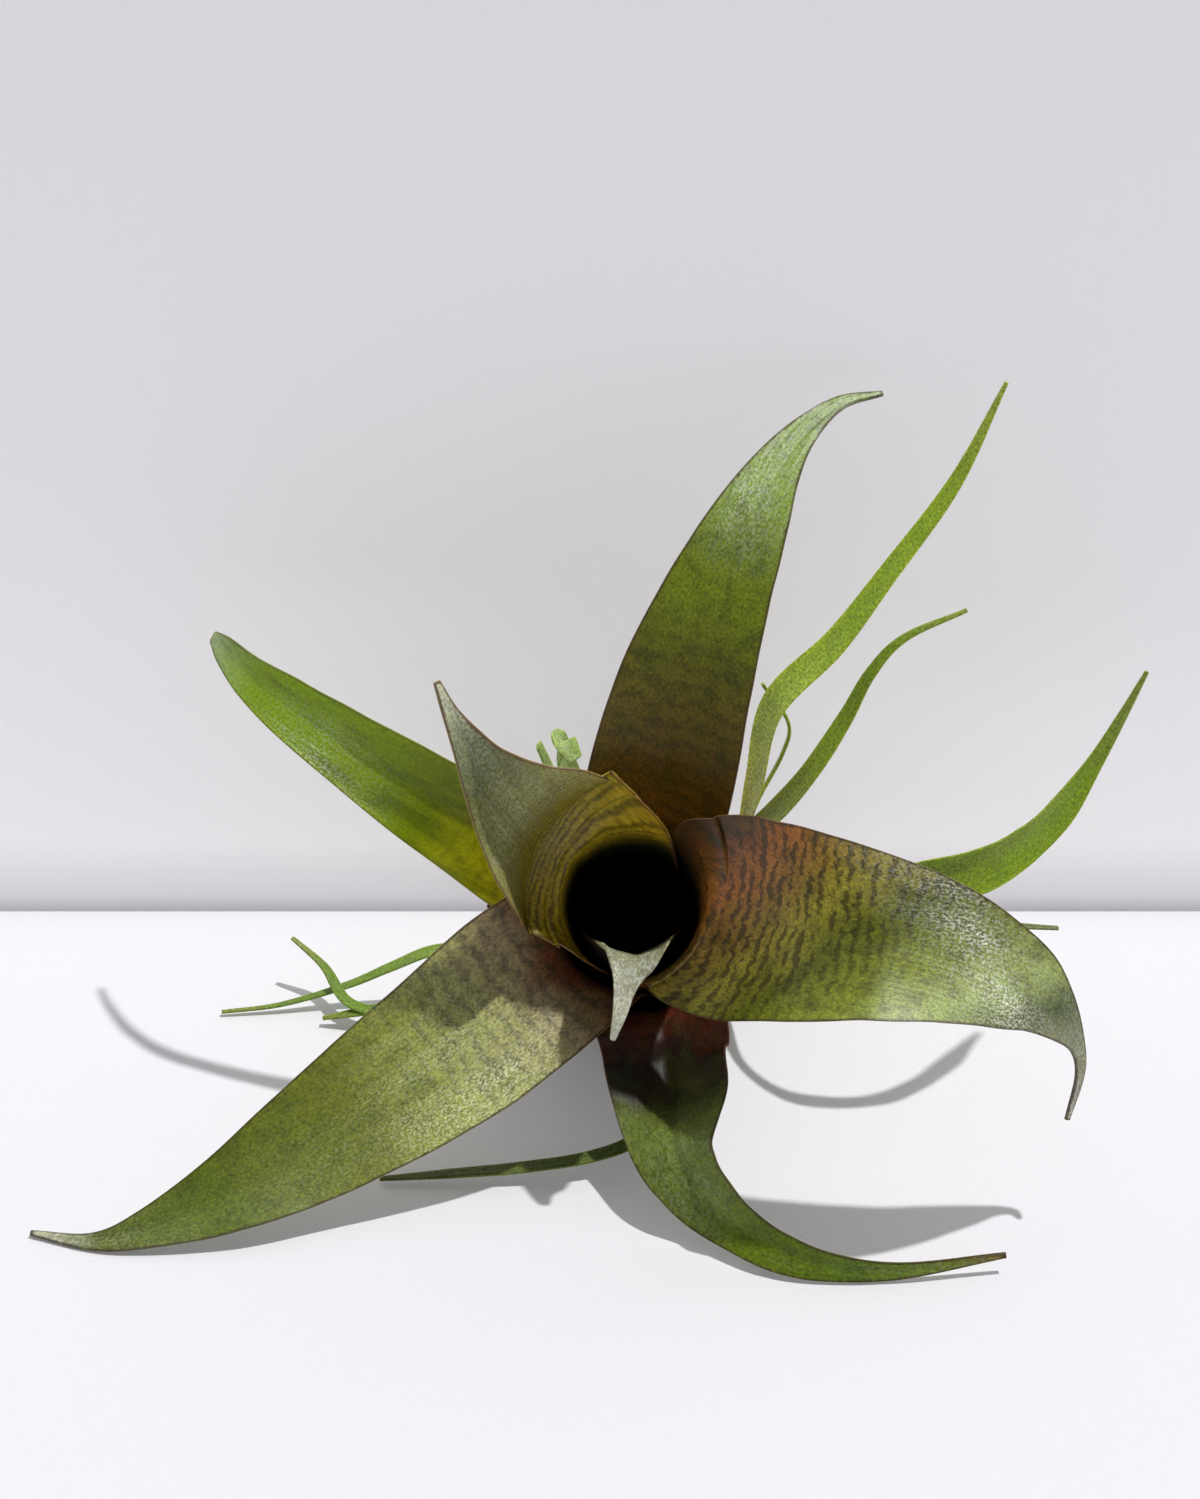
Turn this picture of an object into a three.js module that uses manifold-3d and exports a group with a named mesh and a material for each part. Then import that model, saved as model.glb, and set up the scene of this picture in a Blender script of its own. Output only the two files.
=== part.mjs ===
// Tropical day vriesea: a small bare-root bromeliad lying on a table, its tank turned up and to the front.
// Millimetres, +Z up, the table at Z = 0. Tank leaves nest round one leaning axis.
// Narrow pups grow at the crown.
import * as THREE from "three";
import { mergeVertices } from "three/addons/utils/BufferGeometryUtils.js";
import Module from "manifold-3d";

const wasm = await Module();
wasm.setup();

// The crown, where every leaf starts, and how far the tank's axis leans from upright towards -Y.
const CROWN_PLACE = new THREE.Vector3(5, 26.7, 6.5);
const TANK_LEAN_DEG = 46;

// The tank: [height up the axis, radius of the innermost sheath], and what each older sheath adds.
const TANK_PROFILE = [
  [0, 3],
  [7, 4.8],
  [16, 6.6],
  [28, 7.3],
  [60, 7.3],
];
const SHEATH_STEP = 1.12;
const SHEATH_HEIGHTS = [0.6, 5, 10, 14.5, 19, 24, 30, 37, 44];
const THROAT_LENGTH = 4;

// A sheath narrows between these shares of its height.
// Its leaf turns away from the tank over these spans, counted from the sheath's last station.
const NARROWING = [0.3, 1];
const RELEASE = [-0.5, 2];

// Leaf substance.
const LEAF_THICKNESS = 0.62;
const PUP_THICKNESS = 0.7;
const LEAF_CELLS = 12;
const PUP_CELLS = 2;
const BLADE_STEPS = 2;
const CURVE_TENSION = 0.5;
const WELD_DISTANCE = 0.0001;

// The crown's knob and stem, about the tank's axis.
const KNOB_PROFILE = [
  [0, -5.2],
  [4.4, -4.9],
  [7.6, -3.4],
  [9.3, -1.4],
  [9.3, 0.2],
  [2.2, 0.3],
  [2.1, 9],
  [0, 10],
];
const KNOB_SIDES = 20;
const TABLE_CUT = 80;

// Pup necks, the stubs of the crown that bear them, and roots.
const NECK_SIDES = 8;
const NECK_STEPS = 4;
const STUB_RADIUS = 1.6;
const STUB_BEND = 2.5;
const STUB_GAP = 0.15;
const ROOT_RADIUS = 0.6;
const ROOT_SIDES = 6;
const ROOT_STEPS = 7;

// Colours seen on the plant.
const COLOURS = {
  olive: 0x6f7a2a,
  banded: 0x7a7433,
  fresh: 0x6fa02a,
  silver: 0x8d9a6a,
  shaded: 0x5f6428,
  grass: 0x74a83a,
  root: 0x4a3524,
};
const LEAF_ROUGHNESS = 0.45;
const ROOT_ROUGHNESS = 0.9;

// Tank leaves, innermost first. The sheath wraps the tank at its clock angle (0 is +X, 90 is up the lean),
// over `wrap` degrees each side, narrowing to `throatWrap` where it ends at height `throat`.
// Blade stations are [across, up the lean, height up the axis, half width, hollow radius, roll in degrees].
// A seventh value tells how far one margin is raised and the other lowered,
// where they leave the tank at different heights.
const TANK_LEAVES = [
  {
    name: "leaf_1_heart",
    colour: COLOURS.silver,
    layer: 0,
    clock: -85,
    wrap: 150,
    throatWrap: 70,
    throat: 41,
    blade: [
      [0.5, -7.1, 45, 6.4, 7.4, 0],
      [0.6, -7.5, 48, 5.8, 7, 0],
      [0.5, -8.1, 50.2, 5.2, 6, 0],
      [0, -9.2, 51.8, 4, 5, 0],
      [-0.6, -11, 52.6, 2.2, 5, 0],
      [-1.1, -13.1, 52.6, 1.4, 4, 0],
      [-1.6, -15.6, 51.9, 1, 4, 0],
      [-2.1, -17.4, 51, 0.7, 3, 0],
      [-2.6, -19, 49.6, 0.4, 3, 0],
    ],
  },
  {
    name: "leaf_2_cup",
    colour: COLOURS.olive,
    layer: 1,
    clock: 145,
    wrap: 125,
    throatWrap: 104,
    throat: 40,
    blade: [
      [-7.8, 5.7, 44, 14.9, 9.2, 0, 6],
      [-9.8, 6.8, 45.5, 14.6, 10.6, 0, 7.5],
      [-12.6, 8.3, 47.3, 14.1, 12, 0, 8.5],
      [-14.9, 9.5, 53.3, 11.4, 11.6, 0, 5.5],
      [-17.1, 11.5, 57.1, 7.9, 9.5, 0, 4.5],
      [-19.9, 14.8, 62.1, 4.4, 7, 0, 2.5],
      [-21.9, 18.1, 65.8, 2.5, 5, 0, 1],
      [-23.9, 21.6, 68.8, 1.2, 4, 0, 0],
      [-25.6, 25.4, 70.6, 0.5, 3, 0, 0],
    ],
  },
  {
    name: "leaf_3_right",
    colour: COLOURS.banded,
    layer: 2,
    clock: -16,
    wrap: 110,
    throatWrap: 68,
    throat: 43,
    blade: [
      [9.9, -2, 48, 12, 11, 0, -7.5],
      [12, -3.4, 50.2, 13.2, 14.5, 0, -9.8],
      [16.6, -4.7, 54.4, 13.4, 24, 0, -8],
      [23.6, -6.3, 61.1, 12.9, 28, 0, -2.5],
      [32.1, -7.8, 64.5, 11.4, 26, 0],
      [40.5, -9.6, 63.8, 9.6, 22, 0],
      [47.2, -11.7, 61.8, 7.7, 18, 0],
      [52.5, -13.8, 58.8, 5.8, 14, 0],
      [56.7, -16.9, 54.6, 3.4, 9, 0],
      [59.2, -19.9, 50.8, 1.5, 5, 0],
      [59.9, -23.5, 48, 0.8, 4, 0],
      [58.5, -29.2, 44.6, 0.4, 3, 0],
    ],
  },
  {
    name: "leaf_4_left_front",
    colour: COLOURS.olive,
    layer: 3,
    clock: -142,
    wrap: 100,
    throatWrap: 66,
    throat: 29,
    blade: [
      [-8.6, -6, 33.5, 11.8, 11.4, 0, 1.5],
      [-11, -7.9, 36, 12.4, 14, 0, 1.5],
      [-16, -11.9, 37.3, 12.3, 20, 0, 1],
      [-23.4, -18, 37.4, 11.6, 24, 0, 0.5],
      [-32.8, -24.7, 37.3, 10.4, 26, 0],
      [-44.6, -32.7, 37.8, 8.2, 22, 0],
      [-54.5, -38.8, 38.7, 5.8, 16, 8],
      [-65.3, -43.5, 39, 3, 10, 16],
      [-72.8, -45.2, 38.8, 1.3, 6, 20],
      [-81.5, -43.9, 37, 0.4, 4, 20],
    ],
  },
  {
    name: "leaf_5_top",
    colour: COLOURS.fresh,
    layer: 4,
    clock: 77,
    wrap: 100,
    throatWrap: 56,
    throat: 34,
    blade: [
      [2.8, 12, 40, 11, 13, 0],
      [3.6, 15, 45, 10.8, 15, 0],
      [4.9, 20, 50, 10.4, 18, 0],
      [7.2, 28.5, 53.5, 9.4, 20, 0],
      [11, 39, 55.5, 7.8, 16, 0],
      [15.8, 50.2, 56, 5.7, 11, 0],
      [19.5, 58, 54.8, 3.7, 8, 0],
      [23.4, 63.9, 53, 2.2, 6, 0],
      [28.6, 68.7, 51, 1.1, 4, 0],
      [34.7, 70.6, 49.5, 0.4, 3, 0],
    ],
  },
  {
    name: "leaf_6_front",
    colour: COLOURS.shaded,
    layer: 5,
    clock: -75,
    wrap: 95,
    throatWrap: 45,
    throat: 26,
    blade: [
      [3.4, -13, 30, 10, 14, 0],
      [4.4, -16.4, 32.8, 10, 13, 0],
      [4.8, -20.5, 33.2, 9.4, 12, 0, -1.5],
      [5.4, -26.6, 36, 8.7, 11, 0, -3],
      [5.7, -33.1, 40.6, 5.9, 13, 6, -3.6],
      [7.6, -37, 42.2, 4.7, 11, 12, -3],
      [10.4, -40.3, 42.4, 4.1, 9, 16, -2.5],
      [14, -43.4, 42.4, 3.4, 7, 20, -1],
      [19.4, -46.7, 43.4, 2.9, 6, 22],
      [26, -48.8, 44.4, 2.1, 6, 24],
      [36, -49.4, 44.2, 1.2, 4, 24],
      [50, -47.3, 43.8, 0.4, 3, 24],
    ],
  },
  {
    name: "leaf_7_left",
    colour: COLOURS.fresh,
    layer: 6,
    clock: 154,
    wrap: 95,
    throatWrap: 40,
    throat: 26,
    blade: [
      [-12.8, 6.3, 31, 9.4, 14.5, 0],
      [-15.2, 7.6, 36.5, 8.4, 14, -6],
      [-18.6, 9.4, 40.4, 7.8, 14, -15],
      [-23.4, 12.2, 43, 7.3, 15, -24],
      [-29.6, 15.9, 44.6, 6.8, 16, -29],
      [-37.4, 20.9, 45.5, 5.8, 15, -30],
      [-46.9, 27.4, 45, 4.4, 11, -28],
      [-52.6, 32.2, 42.2, 3.2, 8, -25],
      [-56.4, 36.6, 38.2, 2.1, 6, -21],
      [-58.5, 39.4, 34.8, 0.9, 4, -17],
    ],
  },
];

// Pups round the crown, each a short neck with narrow leaves, measured from the crown's foot on the table.
// A stub of the crown bears each neck and starts at `bud` inside the knob.
// Leaf stations are [x, y, height, half width, hollow radius, roll in degrees].
const PUPS = [
  {
    name: "pup_back_right",
    bud: [5, 4.6, 6.9],
    neck: [
      [9.8, 6.2, 9],
      [13, 3, 18],
      [17, -2.5, 31],
    ],
    neckRadius: 1.9,
    leaves: [
      [
        [16.4, -1.6, 28, 1.7, 3, 20],
        [18, -2.6, 38, 2.1, 4, 40],
        [20.2, -3.3, 51.3, 2.3, 6, 45],
        [28.6, -2.3, 61.1, 2, 7, 45],
        [35.5, -1.3, 71.5, 1.6, 7, 40],
        [44.2, 0.7, 84.7, 1.2, 6, 35],
        [50.5, 2.7, 99, 0.3, 4, 30],
      ],
      [
        [16.4, -1.6, 28, 1.5, 3, 20],
        [20.6, -7.6, 36, 2, 4, 40],
        [25.2, -8.8, 43.6, 1.7, 5, 45],
        [30, -6.3, 51, 1.3, 5, 45],
        [33.4, -4.3, 57.2, 0.9, 5, 45],
        [38, -2.3, 61.7, 0.6, 4, 45],
        [46.7, -0.3, 65, 0.3, 4, 40],
      ],
      [
        [16.6, -1.8, 29, 0.6, 3, 0],
        [18.6, -0.4, 34, 0.5, 3, 0],
        [21.8, 0.7, 40.8, 0.5, 3, 0],
        [22.4, 0.7, 45.9, 0.5, 3, 0],
        [18.6, 0.9, 52.2, 0.4, 3, 0],
      ],
    ],
  },
  {
    name: "pup_right",
    bud: [6, -0.3, 2.6],
    neck: [
      [12.2, -2.4, 3.4],
      [14.6, -3.4, 4.6],
      [17, -5, 7],
    ],
    neckRadius: 1.9,
    leaves: [
      [
        [16, -4.4, 6, 1.6, 3, 0],
        [19.5, -10, 15, 1.9, 4, 10],
        [25, -18, 25, 2.1, 5, 45],
        [33, -23.8, 33, 2.7, 6, 60],
        [40.6, -25.3, 36.4, 3.2, 6, 72],
        [47.8, -24.5, 38, 3.5, 6, 82],
        [53.8, -21.2, 39.7, 3.1, 6, 89],
        [59.3, -16.8, 42.4, 2.5, 6, 93],
        [64.2, -12.6, 47.6, 1.3, 6, 96],
        [68.2, -9.9, 54.2, 0.7, 5, 96],
        [71.1, -8.4, 60, 0.3, 4, 94],
      ],
      [
        [16, -4.4, 6, 1.2, 3, 0],
        [30.7, -4.3, 12, 1.4, 5, 0],
        [47.7, -1.3, 12, 1, 5, 0],
        [63, 0.7, 10, 0.4, 4, 0],
      ],
      [
        [15.4, -4.4, 5.6, 1.1, 3, 0],
        [13.4, -11, 5.4, 1.1, 5, 0],
        [10, -21, 5.2, 1.1, 5, 0],
        [6.6, -31.6, 4.8, 1.1, 5, 0],
        [1.2, -40.6, 4, 1.1, 5, 0],
        [-5.6, -43.8, 3, 1.1, 5, 0],
        [-15.3, -45.2, 2.2, 1.1, 5, 0],
        [-25, -45.6, 1.5, 0.9, 5, 0],
        [-34.7, -45.8, 0.8, 0.4, 4, 0],
      ],
    ],
  },
  {
    name: "pup_back",
    bud: [-0.7, 6, 9],
    neck: [
      [-2, 9.2, 13.4],
      [-3.5, 10, 17],
      [-5.5, 10, 22],
    ],
    neckRadius: 1.8,
    leaves: [
      [
        [-4.6, 10, 19.4, 0.9, 3, 0],
        [-9.8, 9, 28, 1, 3, 0],
        [-13.2, 6.7, 38.2, 0.8, 3, 0],
      ],
      [
        [-4.8, 10, 20, 1.3, 3, 0],
        [-7.6, 8.4, 28, 2, 4, 0],
        [-10, 6.4, 36.6, 2.3, 4, 0],
        [-9.6, 4, 40.4, 2, 4, 0],
        [-7.6, 1.4, 39.2, 0.9, 3, 0],
      ],
    ],
  },
  {
    name: "pup_left",
    bud: [-6, -0.3, 2.6],
    neck: [
      [-12.4, -1.8, 3.4],
      [-14.6, -2.2, 4.2],
      [-17.4, -2.6, 5.6],
    ],
    neckRadius: 1.9,
    leaves: [
      [
        [-16, -2.4, 5, 1.2, 3, 0],
        [-22, -3.4, 8.8, 1.4, 4, 0],
        [-28.6, -4.3, 9.4, 1.3, 5, 0],
        [-34.7, -4.3, 6.6, 1.1, 5, 0],
        [-41.4, -4.8, 3.6, 0.8, 5, 0],
        [-51.1, -6.4, 1.3, 0.5, 5, 0],
        [-59.7, -7.4, 0.7, 0.3, 4, 0],
      ],
      [
        [-16, -2.6, 5, 1, 3, 0],
        [-25, -9, 4.6, 1, 4, 0],
        [-34, -11, 3.2, 1, 4, 0],
        [-41, -8.4, 3.2, 1, 4, 0],
        [-44.8, -2.6, 5.4, 0.8, 4, 0],
        [-49.6, 1, 8, 0.4, 4, 0],
      ],
      [
        [-16, -2.6, 5, 1, 3, 0],
        [-24, -7, 5.4, 1.1, 4, 0],
        [-31, -9.6, 4.2, 1, 4, 0],
        [-38.3, -10, 2.8, 1, 4, 0],
        [-44.7, -9.8, 1.4, 0.4, 3, 0],
      ],
    ],
  },
];

// Wiry roots out of the knob's underside, from the crown's foot on the table.
const ROOTS = [
  [[2, 2, 5], [4, 8, 3], [9, 11, 0.9], [17, 12, 0.8]],
  [[-1, 2, 5], [-3, 8, 3], [-6, 12, 0.9], [-12, 13, 0.8]],
  [[3, 2, 4], [7, 6, 2.4], [14, 7, 0.8], [22, 5, 1.4]],
  [[-3, 3, 5], [-9, 5, 5], [-15, 6, 8], [-21, 6.5, 10]],
  [[-3, 2, 5], [-9, 5, 3], [-16, 8, 3.4], [-21, 9, 6]],
  [[-2, 2, 4], [-8, 6, 1.4], [-15, 9, 0.8], [-23, 11, 0.8]],
  [[1, 3, 4], [2, 9, 2], [3, 12, 0.8], [9, 13, 1.1]],
];

// A smooth curve through stations, with the rest of each station's values eased the same way.
function stationCurves(stations) {
  const through = (points) => new THREE.CatmullRomCurve3(points, false, "catmullrom", CURVE_TENSION);
  return {
    place: through(stations.map(([x, y, z]) => new THREE.Vector3(x, y, z))),
    form: through(stations.map(([, , , width, hollow, roll]) => new THREE.Vector3(width, hollow, roll))),
    lift: through(stations.map(([, , , , , , lift = 0]) => new THREE.Vector3(lift, 0, 0))),
  };
}

function eased(table, at) {
  const next = Math.max(1, table.findIndex(([mark]) => mark >= at));
  const [[low, from], [high, to]] = [table[next - 1], table[next]];
  return THREE.MathUtils.lerp(from, to, THREE.MathUtils.smoothstep(at, low, high));
}

// The sheath's stations, wrapped round the tank's axis, then the blade's own.
function tankStations({ layer, clock, wrap, throatWrap, throat, blade }) {
  const angle = THREE.MathUtils.degToRad(clock);
  const heights = SHEATH_HEIGHTS.filter((height) => height < throat - THROAT_LENGTH);
  const sheath = heights.map((height) => {
    const radius = eased(TANK_PROFILE, height) + layer * SHEATH_STEP;
    const narrowed = THREE.MathUtils.smoothstep(height / throat, ...NARROWING);
    const halfWrap = THREE.MathUtils.lerp(wrap, throatWrap, narrowed);
    const halfWidth = radius * THREE.MathUtils.degToRad(halfWrap);
    return [radius * Math.cos(angle), radius * Math.sin(angle), height, halfWidth, radius, 0];
  });
  return { stations: [...sheath, ...blade], sheathSpans: sheath.length };
}

const UP = new THREE.Vector3(0, 0, 1);

// The blade's own directions at one place: forward along it, towards its upper face, and to its side.
function bladeFrame(place, travel, upright, rollDeg) {
  const forward = travel.clone().lerp(UP, upright).normalize();
  const out = new THREE.Vector3(place.x, place.y, 0).normalize();
  const lean = Math.acos(THREE.MathUtils.clamp(forward.z, -1, 1));
  const face = UP.clone().multiplyScalar(Math.sin(lean)).addScaledVector(out, -Math.cos(lean));
  face.addScaledVector(forward, -face.dot(forward)).normalize();
  face.applyAxisAngle(forward, THREE.MathUtils.degToRad(rollDeg));
  return { forward, face, side: new THREE.Vector3().crossVectors(forward, face) };
}

// A section's point at a share across it, from -1 to 1, and the way its upper face looks there.
function sectionPoint(centre, { forward, face, side }, { halfWidth, hollow, lift }, across) {
  const turn = (across * halfWidth) / hollow;
  const point = centre
    .clone()
    .addScaledVector(side, hollow * Math.sin(turn))
    .addScaledVector(face, hollow * (1 - Math.cos(turn)))
    .addScaledVector(UP, lift * across);
  const sideways = side
    .clone()
    .multiplyScalar(Math.cos(turn))
    .addScaledVector(face, Math.sin(turn))
    .addScaledVector(UP, lift / halfWidth);
  return { point, normal: sideways.cross(forward).normalize() };
}

// The rows of a leaf, counted in stations: one for each sheath station, and more along the blade.
function rowMarks(spans, sheathSpans) {
  const marks = [0];
  while (marks.at(-1) < spans) {
    marks.push(marks.at(-1) + (marks.at(-1) < sheathSpans ? 1 : 1 / BLADE_STEPS));
  }
  return marks;
}

// How far a section still lies square to the tank's axis: fully in the sheath, and not at all in the blade.
function uprightShare(mark, sheathSpans) {
  if (sheathSpans === 0) return 0;
  const [start, end] = RELEASE;
  return 1 - THREE.MathUtils.smoothstep(mark, sheathSpans + start, sheathSpans + end);
}

// One leaf as a closed solid: a curved blade of rows and cells, with both faces split into triangles alike.
function leafGeometry(stations, sheathSpans, cells, thickness) {
  const curves = stationCurves(stations);
  const spans = stations.length - 1;
  const marks = rowMarks(spans, sheathSpans);
  const upper = [];
  const lower = [];
  for (const mark of marks) {
    const along = mark / spans;
    const centre = curves.place.getPoint(along);
    const [halfWidth, hollow, roll] = curves.form.getPoint(along).toArray();
    const form = { halfWidth, hollow, lift: curves.lift.getPoint(along).x };
    const travel = curves.place.getTangent(along);
    const frame = bladeFrame(centre, travel, uprightShare(mark, sheathSpans), roll);
    for (let cell = 0; cell <= cells; cell += 1) {
      const { point, normal } = sectionPoint(centre, frame, form, (2 * cell) / cells - 1);
      upper.push(point.clone().addScaledVector(normal, thickness / 2));
      lower.push(point.clone().addScaledVector(normal, -thickness / 2));
    }
  }
  return closedSheet(upper, lower, marks.length - 1, cells);
}

// Joins two like grids of points into one closed skin.
function closedSheet(upper, lower, rows, cells) {
  const width = cells + 1;
  const at = (row, cell) => row * width + cell;
  const below = upper.length;
  const index = [];
  const quad = (a, b, c, d) => index.push(a, b, c, a, c, d);
  for (let row = 0; row < rows; row += 1) {
    for (let cell = 0; cell < cells; cell += 1) {
      const corners = [at(row, cell), at(row, cell + 1), at(row + 1, cell + 1), at(row + 1, cell)];
      const [a, b, c, d] = corners;
      quad(a, b, c, d);
      index.push(below + a, below + c, below + b, below + a, below + d, below + c);
    }
    quad(at(row, 0), at(row + 1, 0), below + at(row + 1, 0), below + at(row, 0));
    quad(at(row + 1, cells), at(row, cells), below + at(row, cells), below + at(row + 1, cells));
  }
  for (let cell = 0; cell < cells; cell += 1) {
    quad(at(0, cell + 1), at(0, cell), below + at(0, cell), below + at(0, cell + 1));
    quad(at(rows, cell), at(rows, cell + 1), below + at(rows, cell + 1), below + at(rows, cell));
  }
  const geometry = new THREE.BufferGeometry().setFromPoints([...upper, ...lower]);
  geometry.setIndex(index);
  return geometry;
}

// A three.js geometry as a solid that can be joined and cut, and back again.
function toSolid(geometry) {
  const bare = new THREE.BufferGeometry().setAttribute("position", geometry.getAttribute("position"));
  bare.setIndex(geometry.index);
  const merged = mergeVertices(bare, WELD_DISTANCE);
  return new wasm.Manifold(
    new wasm.Mesh({
      numProp: 3,
      vertProperties: new Float32Array(merged.attributes.position.array),
      triVerts: new Uint32Array(merged.index.array),
    }),
  );
}

function toGeometry(solid) {
  const { vertProperties, triVerts } = solid.getMesh();
  const geometry = new THREE.BufferGeometry();
  geometry.setAttribute("position", new THREE.BufferAttribute(new Float32Array(vertProperties), 3));
  geometry.setIndex(new THREE.BufferAttribute(new Uint32Array(triVerts), 1));
  geometry.computeVertexNormals();
  return geometry;
}

function namedMesh(name, geometry, color, roughness) {
  const material = new THREE.MeshStandardMaterial({ color, roughness, side: THREE.DoubleSide });
  const mesh = new THREE.Mesh(geometry, material);
  mesh.name = name;
  return mesh;
}

function buildTank() {
  const tank = new THREE.Group();
  tank.position.copy(CROWN_PLACE);
  tank.rotation.x = THREE.MathUtils.degToRad(TANK_LEAN_DEG);
  for (const leaf of TANK_LEAVES) {
    const { stations, sheathSpans } = tankStations(leaf);
    const geometry = leafGeometry(stations, sheathSpans, LEAF_CELLS, LEAF_THICKNESS);
    geometry.computeVertexNormals();
    tank.add(namedMesh(leaf.name, geometry, leaf.colour, LEAF_ROUGHNESS));
  }
  return tank;
}

// A round stem or root: a circle swept along a smooth curve.
function tubeGeometry(points, radius, sides, steps) {
  const path = new THREE.CatmullRomCurve3(points.map((point) => new THREE.Vector3(...point)));
  const circle = new THREE.Shape().absarc(0, 0, radius, 0, 2 * Math.PI);
  return new THREE.ExtrudeGeometry(circle, {
    steps,
    curveSegments: sides / 2,
    bevelEnabled: false,
    extrudePath: path,
  });
}

// The path of a crown stub, which meets the pup's neck end to end.
function stubPath({ bud, neck: [foot, next] }) {
  const start = new THREE.Vector3(...foot);
  const onward = new THREE.Vector3(...next).sub(start).normalize();
  const bend = start.clone().addScaledVector(onward, -STUB_BEND);
  const end = start.clone().addScaledVector(onward, -STUB_GAP);
  return [bud, bend.toArray(), end.toArray()];
}

function buildPup({ name, neck, neckRadius, leaves }) {
  let pup = toSolid(tubeGeometry(neck, neckRadius, NECK_SIDES, NECK_STEPS));
  for (const stations of leaves) {
    pup = pup.add(toSolid(leafGeometry(stations, 0, PUP_CELLS, PUP_THICKNESS)));
  }
  const mesh = namedMesh(name, toGeometry(pup), COLOURS.grass, LEAF_ROUGHNESS);
  mesh.position.set(CROWN_PLACE.x, CROWN_PLACE.y, 0);
  return mesh;
}

// The knob and stem with their roots and pup stubs, cut flat where they rest on the table.
function buildCrown() {
  const profile = KNOB_PROFILE.map(([radius, height]) => new THREE.Vector2(radius, height));
  const knob = new THREE.LatheGeometry(profile, KNOB_SIDES);
  knob.rotateX(Math.PI / 2);
  knob.rotateX(THREE.MathUtils.degToRad(TANK_LEAN_DEG));
  knob.translate(0, 0, CROWN_PLACE.z);
  let crown = toSolid(knob);
  for (const points of ROOTS) {
    crown = crown.add(toSolid(tubeGeometry(points, ROOT_RADIUS, ROOT_SIDES, ROOT_STEPS)));
  }
  for (const pup of PUPS) {
    crown = crown.add(toSolid(tubeGeometry(stubPath(pup), STUB_RADIUS, NECK_SIDES, NECK_STEPS)));
  }
  const table = new THREE.BoxGeometry(TABLE_CUT, TABLE_CUT, TABLE_CUT);
  table.translate(0, 0, -TABLE_CUT / 2);
  crown = crown.subtract(toSolid(table));
  const mesh = namedMesh("crown_with_roots", toGeometry(crown), COLOURS.root, ROOT_ROUGHNESS);
  mesh.position.set(CROWN_PLACE.x, CROWN_PLACE.y, 0);
  return mesh;
}

const vriesea = new THREE.Group();
vriesea.name = "tropical_day_vriesea";
vriesea.add(buildTank(), buildCrown());
vriesea.add(...PUPS.map(buildPup));

export default vriesea;
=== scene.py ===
"""The looks of a tropical day vriesea: a small bare-root tank bromeliad lying on a pale table.

Every leaf is made from the same stations as its solid, on a finer grid, and is coloured by where a point
lies across and along it. Sizes are in millimetres here and become metres as a mesh is placed.
"""

import logging
import math
import random
from dataclasses import dataclass, field, replace
from enum import Enum
from typing import Callable, Sequence

import bpy
from mathutils import Matrix, Vector, noise


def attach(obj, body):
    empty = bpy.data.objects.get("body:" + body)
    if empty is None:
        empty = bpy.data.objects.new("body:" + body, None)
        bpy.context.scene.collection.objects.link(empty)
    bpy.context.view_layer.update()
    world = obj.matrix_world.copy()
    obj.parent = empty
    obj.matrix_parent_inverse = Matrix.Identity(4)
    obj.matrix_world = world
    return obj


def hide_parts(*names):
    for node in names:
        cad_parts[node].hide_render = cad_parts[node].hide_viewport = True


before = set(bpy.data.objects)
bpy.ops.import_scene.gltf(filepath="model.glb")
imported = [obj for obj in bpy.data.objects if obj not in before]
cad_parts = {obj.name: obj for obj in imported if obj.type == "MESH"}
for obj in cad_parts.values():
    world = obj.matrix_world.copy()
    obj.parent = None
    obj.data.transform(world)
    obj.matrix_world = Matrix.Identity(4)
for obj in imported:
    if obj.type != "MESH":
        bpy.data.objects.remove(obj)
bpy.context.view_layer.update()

LOG = logging.getLogger("vriesea")
MM = 0.001
UP = Vector((0.0, 0.0, 1.0))

# The crown, the tank's lean and its nested sheaths, as in the solids.
CROWN_PLACE = Vector((5.0, 26.7, 6.5))
TANK_LEAN = math.radians(46.0)
TANK_PROFILE = ((0.0, 3.0), (7.0, 4.8), (16.0, 6.6), (28.0, 7.3), (60.0, 7.3))
SHEATH_STEP = 1.12
SHEATH_HEIGHTS = (0.6, 5.0, 10.0, 14.5, 19.0, 24.0, 30.0, 37.0, 44.0)
THROAT_LENGTH = 4.0

# A slanting direction from which the turn of a stem's or root's rings is measured.
TUBE_TURN = Vector((0.31, -0.87, 0.38))
# The widest angles between two faces that are still shaded as one smooth skin.
LEAF_SMOOTHING = math.radians(50.0)
STEM_SMOOTHING = math.radians(60.0)
KNOB_SMOOTHING = math.radians(45.0)

# A leaf's row holds its place (three numbers), its half width, its hollow's radius, its roll in degrees and,
# where the margins leave the tank at different heights, how far one is raised and the other lowered.
Row = tuple[float, ...]
Point = tuple[float, float, float]
Span = tuple[float, float]
Stop = tuple[float, str]
Tree = bpy.types.NodeTree
Node = bpy.types.Node
Piece = bpy.types.Object
Material = bpy.types.Material
Colour = tuple[float, float, float, float]
Socket = tuple[Node, int]
Feed = Node | Socket | Colour | float


class Place(Enum):
    """What a plant piece is measured from."""

    TANK = "the crown, turned with the tank's axis"
    TABLE = "the crown's foot on the table"

    def matrix(self) -> Matrix:
        """Returns the turn and shift that put a point in millimetres where it belongs."""
        if self is Place.TANK:
            return Matrix.Translation(CROWN_PLACE) @ Matrix.Rotation(TANK_LEAN, 4, "X")
        return Matrix.Translation((CROWN_PLACE.x, CROWN_PLACE.y, 0.0))


class Skin(Enum):
    """The faces of a leaf, as the order of its materials."""

    UPPER = 0
    UNDER = 1
    MARGIN = 2


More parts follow.
